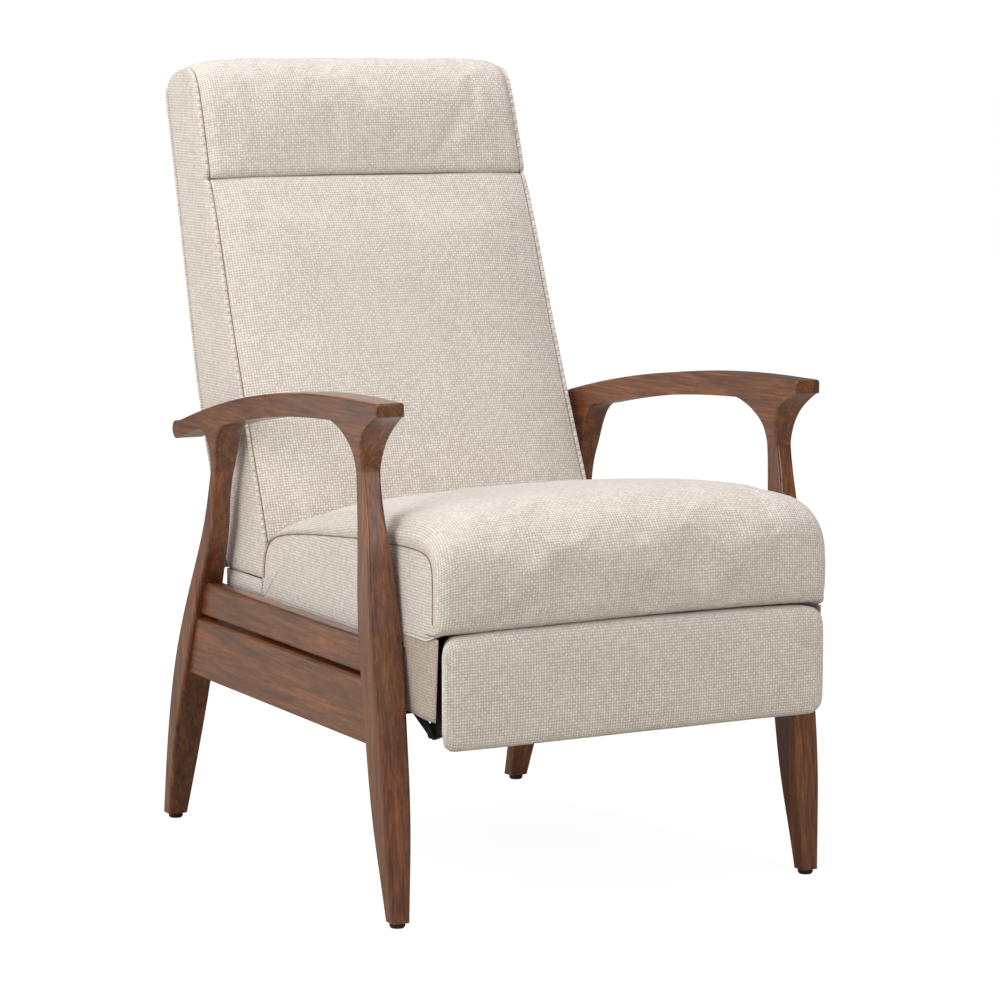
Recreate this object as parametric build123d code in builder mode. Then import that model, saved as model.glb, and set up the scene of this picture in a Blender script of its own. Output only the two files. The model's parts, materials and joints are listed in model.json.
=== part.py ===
from build123d import *
from math import atan, cos, sin, sqrt, tan, radians
import os

os.makedirs("parts", exist_ok=True)

# Pushback recliner with show-wood arms. Millimetres, Z up, the chair faces -Y. Left and right are
# as seen from the front, so right is +X. The origin is on the floor, under the middle of the chair.

# Driving sizes of the whole chair
front_glide_y = -358.7
wheelbase = 727.0
half_track = 303.7
toe_in = 2.18
arm_height = 652.0
glide_height = 7.0
ease = 4.0

# Side frames: legs
front_joint_drop = 90.0
rear_joint_drop = 140.0
leg_thickness = 41.0
front_foot_front = 13.0
front_leg_lean = 73.6
front_leg_depth = 45.0
rear_leg_sweep = 195.4
# Front leg: share of its height, share of the lean of its front edge, share of its depth
front_leg_shares = (
    (0.0, 0.0, 0.53),
    (0.094, 0.064, 0.63),
    (0.209, 0.118, 0.86),
    (0.449, 0.322, 0.99),
    (0.69, 0.596, 0.91),
    (0.852, 0.788, 0.76),
    (0.942, 0.921, 0.64),
    (1.0, 1.0, 0.535),
)
# Rear leg: share of its height, then of its sweep, for the front edge and for the rear edge
rear_leg_shares = (
    (0.0, 0.056, -0.067),
    (0.22, 0.253, 0.102),
    (0.465, 0.503, 0.288),
    (0.695, 0.739, 0.565),
    (0.868, 0.927, 0.777),
    (0.937, 0.958, 0.84),
    (1.0, 1.0, 0.908),
)
# Leg seen from the front: share of its height, then of its thickness for its width and its offset
front_leg_width_shares = (
    (0.0, 0.58, 0.0),
    (0.209, 0.88, 0.0),
    (0.449, 0.985, 0.0),
    (0.69, 0.985, 0.01),
    (0.84, 0.73, 0.05),
    (0.942, 0.585, 0.075),
    (1.0, 0.605, 0.075),
)
rear_leg_width_shares = (
    (0.0, 0.68, 0.0),
    (0.22, 0.99, 0.0),
    (0.465, 1.03, 0.0),
    (0.695, 0.86, 0.02),
    (0.868, 0.66, 0.045),
    (0.94, 0.645, 0.05),
    (1.0, 0.715, 0.055),
)

# Side frames: arm
arm_width = 44.0
arm_tip_width = 38.0
arm_tip_y = 8.4
arm_tip_depth = 18.0
arm_thickness = 31.0
arm_flat_end = 79.0
arm_top_radius = 2080.0
arm_rear_y = 655.0
arm_tail_drop = 24.0
arm_tail_round = 15.0
front_toe_reach = 46.6
front_heel_reach = 60.0
rear_toe_reach = 46.6
rear_heel_reach = 36.0
# Curves of the flares from a leg's top to the beam: share of their reach, share of their rise
front_toe_shares = ((0.0, 0.0), (0.004, 0.29), (0.127, 0.53), (0.5, 0.806), (1.0, 1.0))
front_heel_shares = ((0.0, 0.0), (0.012, 0.225), (0.073, 0.433), (0.268, 0.66), (0.523, 0.832), (1.0, 1.0))
rear_toe_shares = ((0.0, 0.0), (0.15, 0.336), (0.35, 0.7), (0.657, 0.92), (1.0, 1.0))
rear_heel_shares = ((0.0, 0.0), (-0.07, 0.3), (-0.02, 0.65), (0.2, 0.86), (0.55, 0.965), (1.0, 1.0))
arm_tip_ease = 2.5
arm_offset = 2.6

# Side frames: rails
rail_inset = 11.0
upper_rail_outset = 9.0
lower_rail_outset = 14.5
upper_rail_bottom = 307.0
upper_rail_top = 354.0
lower_rail_bottom = 221.0
lower_rail_top = 303.5
rail_ease = 5.0
cross_rail_y = 545.0
cross_rail_depth = 22.0
cross_rail_bottom = 226.0
cross_rail_height = 62.0

# Dowels and glides
dowel_d = 8.0
dowel_length = 40.0
glide_d = 20.0
glide_nail_d = 5.0
glide_nail_length = 16.0

# Mechanism: layers counted outward from the middle of the chair
steel = 3.0
layer_gap = 0.4
seat_plate_x = 244.0
base_plate_x = 266.0
link_width = 17.0
pin_d = 8.0
pin_clearance = 0.05
rivet_head_d = 14.0
rivet_head = 1.2
washer_d = 13.0
# Pivots of the footrest linkage, from the front glides and the floor
swing_pivot = (25.0, 326.0)
guide_pivot = (48.0, 310.0)
knee_pivot = (154.0, 256.0)
guide_end_pivot = (191.0, 236.0)
swing_end_pivot = (176.0, 236.5)
board_top_pivot = (-18.0, 286.0)
board_low_pivot = (-8.0, 242.0)
control_bow = 24.0
# Support links that carry the seat
support_length = 58.0
support_lean = 30.0
support_base_z = 250.0
front_support_y = 291.0
rear_support_y = 471.0
base_plate_front = 236.0
base_plate_rear = 505.0
base_plate_bottom = 230.0
base_plate_top = 272.0
tube_d = 22.0
tube_wall = 1.5
tube_y = (258.0, 390.0)
tube_z = 246.0
packer_length = 36.0
packer_y = (322.0, 438.0)
screw_head_d = 10.0
screw_head = 2.2
screw_d = 4.0
screw_length = 28.0
hinge_height = 335.0
hinge_setback = 54.0

# Seat
seat_side_inset = 25.0
seat_front = 66.0
seat_length = 532.0
seat_bottom = 354.6
seat_edge_height = 126.0
seat_crown = 49.0
seat_bulge = 15.0
# Side outline of the seat cushion: share of its length, share of its edge height, share of the
# crown and share of the bulge at the middle of the chair
seat_shares = (
    (0.009, 0.114, 0.12, 0.2),
    (-0.0011, 0.456, 0.15, 0.9),
    (0.011, 0.797, 0.6, 1.0),
    (0.038, 0.94, 0.85, 0.7),
    (0.086, 1.003, 1.0, 0.3),
    (0.406, 0.956, 0.95, 0.0),
    (0.769, 0.733, 0.7, 0.0),
    (0.923, 0.598, 0.5, 0.0),
    (0.983, 0.36, 0.15, 0.0),
    (1.0, 0.0, 0.0, 0.0),
    (0.135, 0.0, 0.0, 0.0),
    (0.135, 0.114, 0.0, 0.0),
)
# Across a cushion: share of its half-width, share of the crown there
crown_shares = ((0.0, 1.0), (0.4, 0.91), (0.68, 0.75), (0.87, 0.52), (0.965, 0.22), (1.0, -0.04))
ring_half_width = 252.0
ring_member = 48.0
ring_front = -18.0
ring_overhang = 24.0
ring_bottom = 337.0
ring_top = 353.0
side_rail_width = 22.0
side_rail_bottom = 300.0
webbing_width = 45.0
webbing_thickness = 1.2
webbing_count = 5
dust_cover_thickness = 0.8
skirt_thickness = 1.6
skirt_rear = 95.0
skirt_bottom = 264.0
skirt_front = 64.0
skirt_front_slope = 9.0
skirt_fold = 3.0
skirt_flat_fold = 0.1
# Folds of a skirt's lower edge: share of its length, share of the fold's depth outward
skirt_fold_shares = ((0.0, 0.0), (0.22, 0.35), (0.48, -1.0), (0.76, 0.3), (1.0, -0.4))

# Footrest
footrest_half_width = 275.0
footrest_front = 75.5
footrest_pad_thickness = 34.5
footrest_bottom = 228.0
footrest_top = 366.0
footrest_corner = 17.0
footrest_edge = 8.0
footrest_crown = 6.0
footrest_lift = 6.0
board_thickness = 12.0
board_margin = 13.0
bracket_flange = 24.0
bracket_lobe = 9.0

# Back: sizes up its slope and through its thickness, from back_origin
back_tilt = 20.5
back_setback = 6.0
back_bottom = 372.0
back_length = 708.0
back_thickness = 120.0
back_side_inset = 28.0
panel_thickness = 4.0
soft_gap = 0.4
back_crown = 24.0
# Front of the back cushion: share of thickness, share of length, share of the crown
back_shares = (
    (0.05, 0.003, 0.0),
    (-0.15, 0.055, 0.2),
    (-0.155, 0.16, 0.6),
    (-0.122, 0.37, 1.0),
    (-0.12, 0.66, 0.85),
    (-0.095, 0.745, 0.5),
    (-0.066, 0.789, 0.0),
)
# Front and top of the headrest cushion, in the same shares
headrest_shares = (
    (-0.066, 0.794, 0.0),
    (-0.14, 0.87, 0.55),
    (-0.165, 0.955, 0.7),
    (-0.15, 1.0, 0.6),
    (-0.051, 1.022, 0.35),
    (0.10, 1.039, 0.2),
    (0.285, 1.045, 0.1),
    (0.50, 1.046, 0.05),
    (0.62, 1.038, 0.0),
    (0.654, 1.024, 0.0),
)
# Rear of the back from its top downward: share of thickness, share of length
rear_shares = ((0.654, 1.024), (0.712, 0.908), (0.833, 0.707), (0.985, 0.45), (0.99, 0.229), (0.983, 0.062))
frame_front_share = 0.375
frame_top_share = 1.006
stile_x = 216.0
strap_x = 240.5
strap_length = 190.0
back_rail_depth = 22.0
# Height up the slope of the back's two rails: share of length at the bottom and at the top
back_rail_shares = (("top_rail", 0.93, 1.006), ("middle_rail", 0.40, 0.47))
tail_rail_bottom = 343.0
tail_rail_top = 365.0
tail_rail_setback = 66.0
tail_setback = 11.0
tail_depth = 127.0
tail_thickness = 4.4
tail_bottom = 338.0
tail_band_top = 369.5

overrun = 60.0
# What follows from the seat's length: its frame, the hinge of the back, the back and its tail
seat_rear = seat_length - seat_front
ring_rear = seat_rear + ring_overhang
back_hinge = (seat_rear + hinge_setback, hinge_height)
back_origin = (seat_rear + back_setback, back_bottom)
tail_front = seat_rear + tail_setback
tail_rear = tail_front + tail_depth
tail_rail_front = seat_rear + tail_rail_setback
tail_rail_rear = tail_rear - tail_thickness

toe = radians(toe_in)
front_joint_height = arm_height - front_joint_drop
rear_joint_height = arm_height - rear_joint_drop
tilt = radians(back_tilt)
along = (-sin(toe), cos(toe), 0)
outward = (cos(toe), sin(toe), 0)


def side_view(x):
    """Plane square to X at x: its X runs rearward from the front glides, its Y runs up."""
    return Plane(origin=(x, front_glide_y, 0), x_dir=(0, 1, 0), z_dir=(1, 0, 0))


def frame_view(offset):
    """Plane of the right-hand side frame, toed in, the given distance outward of its middle."""
    origin = (half_track + offset * outward[0], front_glide_y + offset * outward[1], 0)
    return Plane(origin=origin, x_dir=along, z_dir=outward)


def frame_front_view():
    """Plane across the side frame: its X runs outward from the frame's middle, its Y runs up."""
    forward = (-along[0], -along[1], 0)
    return Plane(origin=(half_track, front_glide_y, 0), x_dir=outward, z_dir=forward)


def frame_x(y, offset):
    """X of the right-hand side frame's face at y behind the front glides."""
    return half_track - tan(toe) * y + offset


def plan(z):
    """Level plane at z whose origin is above the middle of the two front glides."""
    return Plane(origin=(0, front_glide_y, z))


def arm_top(y):
    """Height of the arm's top face at y behind the front glides."""
    run = max(y - arm_flat_end, 0)
    return arm_height - arm_top_radius + sqrt(arm_top_radius**2 - run**2)


def arm_under(y):
    """Height of the arm's underside at y behind the front glides."""
    return arm_top(y) - arm_thickness


def leg_edges(shares, height, kind):
    """Front and rear edge points of a leg, from the share table of its kind."""
    rise = height - glide_height
    front = []
    rear = []
    for row in shares:
        z = glide_height + row[0] * rise
        if kind == "front":
            y = -front_foot_front + row[1] * front_leg_lean
            front.append((y, z))
            rear.append((y + row[2] * front_leg_depth, z))
        else:
            front.append((wheelbase - row[1] * rear_leg_sweep, z))
            rear.append((wheelbase - row[2] * rear_leg_sweep, z))
    return front, rear


def leg_solid(shares, width_shares, height, kind):
    """Leg cut to its side outline and then to its front outline, with eased long edges."""
    front, rear = leg_edges(shares, height, kind)
    rise = height - glide_height
    half = leg_thickness / 2
    outer = []
    inner = []
    for row in width_shares:
        z = glide_height + row[0] * rise
        outer.append((row[2] * leg_thickness + row[1] * half, z))
        inner.append((row[2] * leg_thickness - row[1] * half, z))
    with BuildPart() as leg:
        with BuildSketch(frame_view(-leg_thickness)):
            with BuildLine():
                Spline(front)
                Line(front[-1], rear[-1])
                Spline(rear)
                Line(rear[0], front[0])
            make_face()
        extrude(amount=2 * leg_thickness)
        with BuildSketch(frame_front_view()):
            with BuildLine():
                Spline(outer)
                Line(outer[-1], inner[-1])
                Spline(inner)
                Line(inner[0], outer[0])
            make_face()
        extrude(amount=2 * wheelbase, both=True, mode=Mode.INTERSECT)
        long_edges = leg.edges().filter_by(lambda e: e.length > rise / 2)
        fillet(long_edges, radius=ease)
    return leg.part


def dowel_at(plane, diameter):
    """Dowel centred on the plane's origin, along its normal."""
    with BuildPart() as dowel:
        with BuildSketch(plane):
            Circle(diameter / 2)
        extrude(amount=dowel_length / 2, both=True)
    return dowel.part


def edge_y(points, z):
    """Y of a leg edge at height z, straight between its points."""
    for low, high in zip(points, points[1:]):
        if low[1] <= z <= high[1]:
            return low[0] + (high[0] - low[0]) * (z - low[1]) / (high[1] - low[1])
    return points[-1][0]


def mirrored(name, part):
    """Labelled copy of a right-hand piece for the left-hand side, written to its file."""
    copy = mirror(part, about=Plane.YZ)
    copy.label = name
    export_step(copy, "parts/" + name + ".step")
    return copy


def save(name, part):
    """Label a finished piece and write its file."""
    part.label = name
    export_step(part, "parts/" + name + ".step")


def save_pair(name, part):
    """Write the right-hand piece and its mirrored left-hand twin."""
    save("right_" + name, part)
    mirrored("left_" + name, part)


def save_group(name, part):
    """Write a right-hand piece and its left-hand twin as one node of separate solids."""
    twin = mirror(part, about=Plane.YZ)
    save(name, Compound(children=list(part.solids()) + list(twin.solids())))


# Dowels of the right-hand side frame: leg to arm, and rails to legs
front_edges = leg_edges(front_leg_shares, front_joint_height, "front")
rear_edges = leg_edges(rear_leg_shares, rear_joint_height, "rear")
arm_joints = (
    ((front_edges[0][-1][0] + front_edges[1][-1][0]) / 2, front_joint_height),
    ((rear_edges[0][-1][0] + rear_edges[1][-1][0]) / 2, rear_joint_height),
)
arm_dowels = []
for y, z in arm_joints:
    spot = frame_view(0).from_local_coords((y, z, 0))
    arm_dowels.append(dowel_at(Plane(origin=spot, z_dir=(0, 0, 1)), dowel_d))
rail_mid = (lower_rail_outset - rail_inset) / 2
upper_mid = (upper_rail_outset - rail_inset) / 2
lower_height = lower_rail_top - lower_rail_bottom
dowel_heights = (
    (lower_rail_bottom + lower_height / 4, rail_mid),
    (lower_rail_top - lower_height / 4, rail_mid),
    ((upper_rail_bottom + upper_rail_top) / 2, upper_mid),
)
rail_dowels = []
for z, offset in dowel_heights:
    for y in (edge_y(front_edges[1], z), edge_y(rear_edges[0], z)):
        spot = frame_view(offset).from_local_coords((y, z, 0))
        rail_dowels.append(dowel_at(Plane(origin=spot, z_dir=along), dowel_d))

# Glide under each foot: a moulded disc and the nail that holds it
def glide_solid(y):
    """Glide with its nail, its face on the floor, under the foot at y behind the front glides."""
    spot = frame_view(0).from_local_coords((y, 0, 0))
    with BuildPart() as glide:
        with BuildSketch(Plane(origin=spot, x_dir=(1, 0, 0), z_dir=(0, -1, 0))):
            with BuildLine():
                Polyline((0, 0), (glide_d / 2 - glide_height / 4, 0), (glide_d / 2, glide_height / 3),
                         (glide_d / 2, glide_height), (glide_nail_d / 2, glide_height),
                         (glide_nail_d / 2, glide_height + glide_nail_length),
                         (0, glide_height + glide_nail_length), close=True)
            make_face()
        revolve(axis=Axis(spot, (0, 0, 1)))
    return glide.part


right_glides = [glide_solid(0), glide_solid(wheelbase)]

# Legs
with BuildPart() as right_front_leg:
    add(leg_solid(front_leg_shares, front_leg_width_shares, front_joint_height, "front"))
    for tool in arm_dowels + rail_dowels + right_glides:
        add(tool, mode=Mode.SUBTRACT)
save_pair("front_leg", right_front_leg.part)

with BuildPart() as right_rear_leg:
    add(leg_solid(rear_leg_shares, rear_leg_width_shares, rear_joint_height, "rear"))
    for tool in arm_dowels + rail_dowels + right_glides:
        add(tool, mode=Mode.SUBTRACT)
save_pair("rear_leg", right_rear_leg.part)

# Arm: a bowed beam with two flared stubs that land on the legs
flare_front = (front_edges[0][-1][0], front_joint_height)
flare_front_rear = (front_edges[1][-1][0], front_joint_height)
flare_rear_front = (rear_edges[0][-1][0], rear_joint_height)
flare_rear = (rear_edges[1][-1][0], rear_joint_height)
tip_under = arm_height - arm_tip_depth
front_toe = (flare_front[0] - front_toe_reach, tip_under)
front_heel = (flare_front_rear[0] + front_heel_reach, arm_under(flare_front_rear[0] + front_heel_reach))
rear_toe = (flare_rear_front[0] - rear_toe_reach, arm_under(flare_rear_front[0] - rear_toe_reach))
tail_top = (arm_rear_y, arm_top(arm_rear_y))
tail_low = (arm_rear_y, arm_top(arm_rear_y) - arm_tail_drop)
tail_end = (arm_rear_y + arm_tail_round, arm_top(arm_rear_y) - arm_tail_drop / 2)
rear_heel_y = flare_rear[0] + rear_heel_reach
rear_heel = (rear_heel_y, tail_low[1] + (arm_rear_y - rear_heel_y) * arm_tail_drop / (2 * arm_width))
mid_span = (front_heel[0] + rear_toe[0]) / 2
mid_top = (arm_flat_end + arm_rear_y) / 2
half_tip = arm_tip_width / 2
half_arm = arm_width / 2


def flare_curve(shares, low, high):
    """Points from a leg's top at low to the beam at high, by a table of shares."""
    return [(low[0] + row[0] * (high[0] - low[0]), low[1] + row[1] * (high[1] - low[1])) for row in shares]


def arm_plan():
    """Beam seen from above, narrower at its front tip and at its tail, extruded through the arm."""
    with BuildPart() as plan_block:
        with BuildSketch(Plane(origin=frame_view(arm_offset).origin, x_dir=outward, z_dir=(0, 0, 1))):
            with BuildLine():
                Polyline((half_tip, arm_tip_y), (-half_tip, arm_tip_y))
                Spline((-half_tip, arm_tip_y), (-half_arm, flare_front_rear[0]), (-half_arm, mid_span),
                       (-half_tip, arm_rear_y + arm_tail_round))
                Line((-half_tip, arm_rear_y + arm_tail_round), (half_tip, arm_rear_y + arm_tail_round))
                Spline((half_tip, arm_rear_y + arm_tail_round), (half_arm, mid_span),
                       (half_arm, flare_front_rear[0]), (half_tip, arm_tip_y))
            make_face()
        extrude(amount=arm_height + overrun)
    return plan_block.part


def flare_solid(toe_curve, heel_curve, width_row, half_top):
    """Stub of the arm that widens from a leg's top into the beam, in all four directions."""
    joint = toe_curve[0][1]
    middle = width_row[2] * leg_thickness
    neck = width_row[1] * leg_thickness / 2
    lift = arm_thickness / 3
    level = min(toe_curve[-1][1], heel_curve[-1][1])
    toe_point = toe_curve[-1]
    heel_point = heel_curve[-1]
    with BuildPart() as flare:
        with BuildSketch(frame_view(-arm_width)):
            with BuildLine():
                Spline(toe_curve)
                Polyline(toe_point, (toe_point[0], toe_point[1] + lift),
                         (heel_point[0], heel_point[1] + lift), heel_point)
                Spline(heel_curve)
                Line(heel_curve[0], toe_curve[0])
            make_face()
        extrude(amount=2 * arm_width)
        with BuildSketch(frame_front_view()):
            top_outer = arm_offset + half_top
            top_inner = arm_offset - half_top
            Polygon((middle + neck, joint), (top_outer, level), (top_outer, arm_height),
                    (top_inner, arm_height), (top_inner, level), (middle - neck, joint), align=None)
        extrude(amount=2 * wheelbase, both=True, mode=Mode.INTERSECT)
        add(arm_plan(), mode=Mode.INTERSECT)
        corners = flare.edges().filter_by(lambda e: abs(e.bounding_box().min.Z - joint) < glide_height / 100)
        fillet(corners.filter_by(lambda e: e.bounding_box().size.Z > leg_thickness / 2), radius=ease)
    return flare.part


with BuildPart() as right_arm:
    # Beam
    with BuildSketch(frame_view(arm_offset - arm_width / 2)):
        with BuildLine():
            Polyline((arm_tip_y, tip_under), (arm_tip_y, arm_height), (arm_flat_end, arm_height))
            ThreePointArc((arm_flat_end, arm_height), (mid_top, arm_top(mid_top)), tail_top)
            ThreePointArc(tail_top, tail_end, tail_low)
            Polyline(tail_low, rear_heel, rear_toe)
            ThreePointArc(rear_toe, (mid_span, arm_under(mid_span)), front_heel)
            Polyline(front_heel, front_toe, (arm_tip_y, tip_under))
        make_face()
    extrude(amount=arm_width)
    add(arm_plan(), mode=Mode.INTERSECT)
    top_edges = right_arm.edges().filter_by(lambda e: e.length > wheelbase / 3)
    fillet(top_edges, radius=ease)
    fillet(right_arm.edges().group_by(Axis(frame_view(0).origin, along))[0], radius=arm_tip_ease)
    front_toe_curve = flare_curve(front_toe_shares, flare_front, front_toe)
    front_heel_curve = flare_curve(front_heel_shares, flare_front_rear, front_heel)
    rear_toe_curve = flare_curve(rear_toe_shares, flare_rear_front, rear_toe)
    rear_heel_curve = flare_curve(rear_heel_shares, flare_rear, rear_heel)
    add(flare_solid(front_toe_curve, front_heel_curve, front_leg_width_shares[-1], half_arm))
    add(flare_solid(rear_toe_curve, rear_heel_curve, rear_leg_width_shares[-1], half_tip))
    for tool in arm_dowels:
        add(tool, mode=Mode.SUBTRACT)
save_pair("arm", right_arm.part)
save_group("frame_dowels", Compound(children=arm_dowels + rail_dowels))
save_group("glides", Compound(children=right_glides))

# Mechanism layers of the right-hand side, counted outward
guide_x = seat_plate_x + steel + layer_gap
reach_x = guide_x + steel + layer_gap
swing_x = reach_x + steel + layer_gap
control_x = swing_x + steel + layer_gap
support_x = base_plate_x - layer_gap - steel
running_d = pin_d + 2 * pin_clearance
wide_end = link_width / 2
narrow_end = link_width * 3 / 8
rail_face = rail_inset / outward[0]
support_dy = support_length * sin(radians(support_lean))
support_dz = support_length * cos(radians(support_lean))
front_support_base = (front_support_y, support_base_z)
rear_support_base = (rear_support_y, support_base_z)
front_support_top = (front_support_y - support_dy, support_base_z + support_dz)
rear_support_top = (rear_support_y - support_dy, support_base_z + support_dz)


def rod(point, diameter, start, end):
    """Round bar square to the plates at a pivot, from x start to x end."""
    with BuildPart() as bar:
        with BuildSketch(side_view(start)):
            with Locations(point):
                Circle(diameter / 2)
        extrude(amount=end - start)
    return bar.part


def link_solid(x, points, radii, bores):
    """Flat bar at x along its pivots, with a rounded end at each and a bore at those named."""
    with BuildPart() as link:
        for k in range(len(points) - 1):
            with BuildSketch(side_view(x)):
                with Locations(points[k]):
                    Circle(radii[k])
                with Locations(points[k + 1]):
                    Circle(radii[k + 1])
                make_hull()
            extrude(amount=steel)
        for point in bores:
            add(rod(point, running_d, x, x + steel), mode=Mode.SUBTRACT)
    return link.part


# Tapered packers between the base plates and the lower rails, and the screws through them
packers = []
base_screws = []
screw_shanks = []
for y in packer_y:
    near = y - packer_length / 2
    far = y + packer_length / 2
    with BuildPart() as packer:
        with BuildSketch(plan(base_plate_bottom)):
            Polygon((base_plate_x + steel, near), (frame_x(near, -rail_face), near),
                    (frame_x(far, -rail_face), far), (base_plate_x + steel, far), align=None)
        extrude(amount=base_plate_top - base_plate_bottom)
        for shift in (-packer_length / 4, packer_length / 4):
            spot = (y + shift, support_base_z)
            shank = rod(spot, screw_d, base_plate_x, base_plate_x + screw_length)
            screw_shanks.append(shank)
            add(shank, mode=Mode.SUBTRACT)
            with BuildPart(mode=Mode.PRIVATE) as screw:
                add(rod(spot, screw_head_d, base_plate_x - screw_head, base_plate_x))
                fillet(screw.edges().sort_by(Axis.X)[0], radius=screw_head / 2)
                add(shank)
            base_screws.append(screw.part)
    packers.append(packer.part)
save_group("packers", Compound(children=packers))
save_group("base_screws", Compound(children=base_screws))


# Side rails: two boards, one above the other, butted and dowelled between the legs
def rail_solid(bottom, top, outset):
    """Board between the legs with eased outer edges, cut to the legs at its ends."""
    reach = front_leg_depth / 4
    with BuildPart() as rail:
        with BuildSketch(frame_view(-rail_inset)):
            Polygon((edge_y(front_edges[1], bottom) - reach, bottom),
                    (edge_y(rear_edges[0], bottom) + reach, bottom),
                    (edge_y(rear_edges[0], top) + reach, top),
                    (edge_y(front_edges[1], top) - reach, top), align=None)
        extrude(amount=rail_inset + outset)
        outer = rail.faces().sort_by(Axis(frame_view(0).origin, outward))[-1]
        fillet(outer.edges().filter_by(lambda e: e.length > wheelbase / 3), radius=rail_ease)
        for tool in [right_front_leg.part, right_rear_leg.part] + rail_dowels + screw_shanks:
            add(tool, mode=Mode.SUBTRACT)
    return rail.part


save_pair("upper_rail", rail_solid(upper_rail_bottom, upper_rail_top, upper_rail_outset))
save_pair("lower_rail", rail_solid(lower_rail_bottom, lower_rail_top, lower_rail_outset))

# Rear cross rail between the two lower rails
with BuildPart() as rear_cross_rail:
    with BuildSketch(plan(cross_rail_bottom)):
        near = cross_rail_y
        far = near + cross_rail_depth
        Polygon((frame_x(near, -rail_face), near), (frame_x(far, -rail_face), far),
                (-frame_x(far, -rail_face), far), (-frame_x(near, -rail_face), near), align=None)
    extrude(amount=cross_rail_height)
save("rear_cross_rail", rear_cross_rail.part)

# Base plates with their pivot studs, and the two tubes between them
stud_head_x = support_x - layer_gap / 2
with BuildPart() as right_base_plate:
    with BuildSketch(side_view(base_plate_x)):
        with Locations(((base_plate_front + base_plate_rear) / 2, (base_plate_bottom + base_plate_top) / 2)):
            RectangleRounded(base_plate_rear - base_plate_front, base_plate_top - base_plate_bottom,
                             wide_end)
    extrude(amount=steel)
    for spot in (front_support_base, rear_support_base):
        add(rod(spot, pin_d, stud_head_x, base_plate_x))
        add(rod(spot, rivet_head_d, stud_head_x - rivet_head, stud_head_x))
    for tool in screw_shanks:
        add(tool, mode=Mode.SUBTRACT)
save_pair("base_plate", right_base_plate.part)
with BuildPart() as cross_tubes:
    with BuildSketch(side_view(-base_plate_x)):
        with Locations((tube_y[0], tube_z), (tube_y[1], tube_z)):
            Circle(tube_d / 2)
            Circle(tube_d / 2 - tube_wall, mode=Mode.SUBTRACT)
    extrude(amount=2 * base_plate_x)
save("cross_tubes", cross_tubes.part)

# Support links that carry the seat on the base plates
support_ends = (wide_end, wide_end)
rear_pivots = (rear_support_base, rear_support_top)
front_pivots = (front_support_base, front_support_top)
save_pair("rear_support_link", link_solid(support_x, rear_pivots, support_ends, rear_pivots))
save_pair("front_support_link", link_solid(support_x, front_pivots, support_ends, front_pivots))

# Seat plates with their pivot studs, spacer sleeves and hinge ear
ear = wide_end + rivet_head
plate_low = front_support_top[1] - ear
with BuildPart() as right_seat_plate:
    with BuildSketch(side_view(seat_plate_x)):
        with BuildLine():
            Polyline((swing_pivot[0] - 2 * ear, plate_low), (ring_rear, plate_low), (ring_rear, ring_bottom),
                     (swing_pivot[0] - 2 * ear, ring_bottom), close=True)
        make_face()
        fillet(vertices().group_by(Axis.Y)[0], radius=wide_end)
    extrude(amount=steel)
    with BuildSketch(side_view(seat_plate_x)):
        with Locations(back_hinge, (ring_rear - ear, front_support_top[1])):
            Circle(ear)
        make_hull()
    extrude(amount=steel)
    add(rod(swing_pivot, washer_d, seat_plate_x + steel, swing_x - layer_gap / 2))
    add(rod(swing_pivot, pin_d, seat_plate_x + steel, swing_x + steel))
    add(rod(guide_pivot, pin_d, seat_plate_x + steel, guide_x + steel))
    for spot in (front_support_top, rear_support_top):
        cap = support_x + steel + layer_gap / 2
        add(rod(spot, rivet_head_d, seat_plate_x + steel, support_x - layer_gap))
        add(rod(spot, pin_d, seat_plate_x + steel, cap))
        add(rod(spot, rivet_head_d, cap, cap + rivet_head))
    add(rod(back_hinge, pin_d, strap_x - layer_gap / 2, seat_plate_x))
    add(rod(back_hinge, rivet_head_d, strap_x - layer_gap / 2 - rivet_head, strap_x - layer_gap / 2))
save_pair("seat_plate", right_seat_plate.part)

# Footrest linkage: each link carries the studs that are riveted in it
guide_points = (guide_pivot, guide_end_pivot)
save_pair("guide_link", link_solid(guide_x, guide_points, (wide_end, narrow_end), (guide_pivot,)))
reach_points = (guide_end_pivot, knee_pivot, board_top_pivot)
reach_ends = (narrow_end, wide_end, narrow_end)
save_pair("reach_link", link_solid(reach_x, reach_points, reach_ends, (knee_pivot, board_top_pivot)))
cap = control_x + steel + layer_gap / 2
with BuildPart() as right_swing_link:
    swing_points = (swing_pivot, knee_pivot, swing_end_pivot)
    add(link_solid(swing_x, swing_points, (wide_end, wide_end, narrow_end), (swing_pivot,)))
    add(rod(knee_pivot, pin_d, reach_x, swing_x))
    add(rod(swing_end_pivot, pin_d, swing_x, cap))
    add(rod(swing_end_pivot, rivet_head_d, cap, cap + rivet_head))
save_pair("swing_link", right_swing_link.part)
bow_y = board_low_pivot[0] + (swing_end_pivot[0] - board_low_pivot[0]) / 4
with BuildPart() as right_control_link:
    control_points = (swing_end_pivot, (bow_y, board_low_pivot[1] + control_bow), board_low_pivot)
    add(link_solid(control_x, control_points, (narrow_end, narrow_end, narrow_end), (swing_end_pivot,)))
    add(rod(board_low_pivot, rivet_head_d, control_x + steel, control_x + steel + rivet_head))
save_pair("control_link", right_control_link.part)

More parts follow.
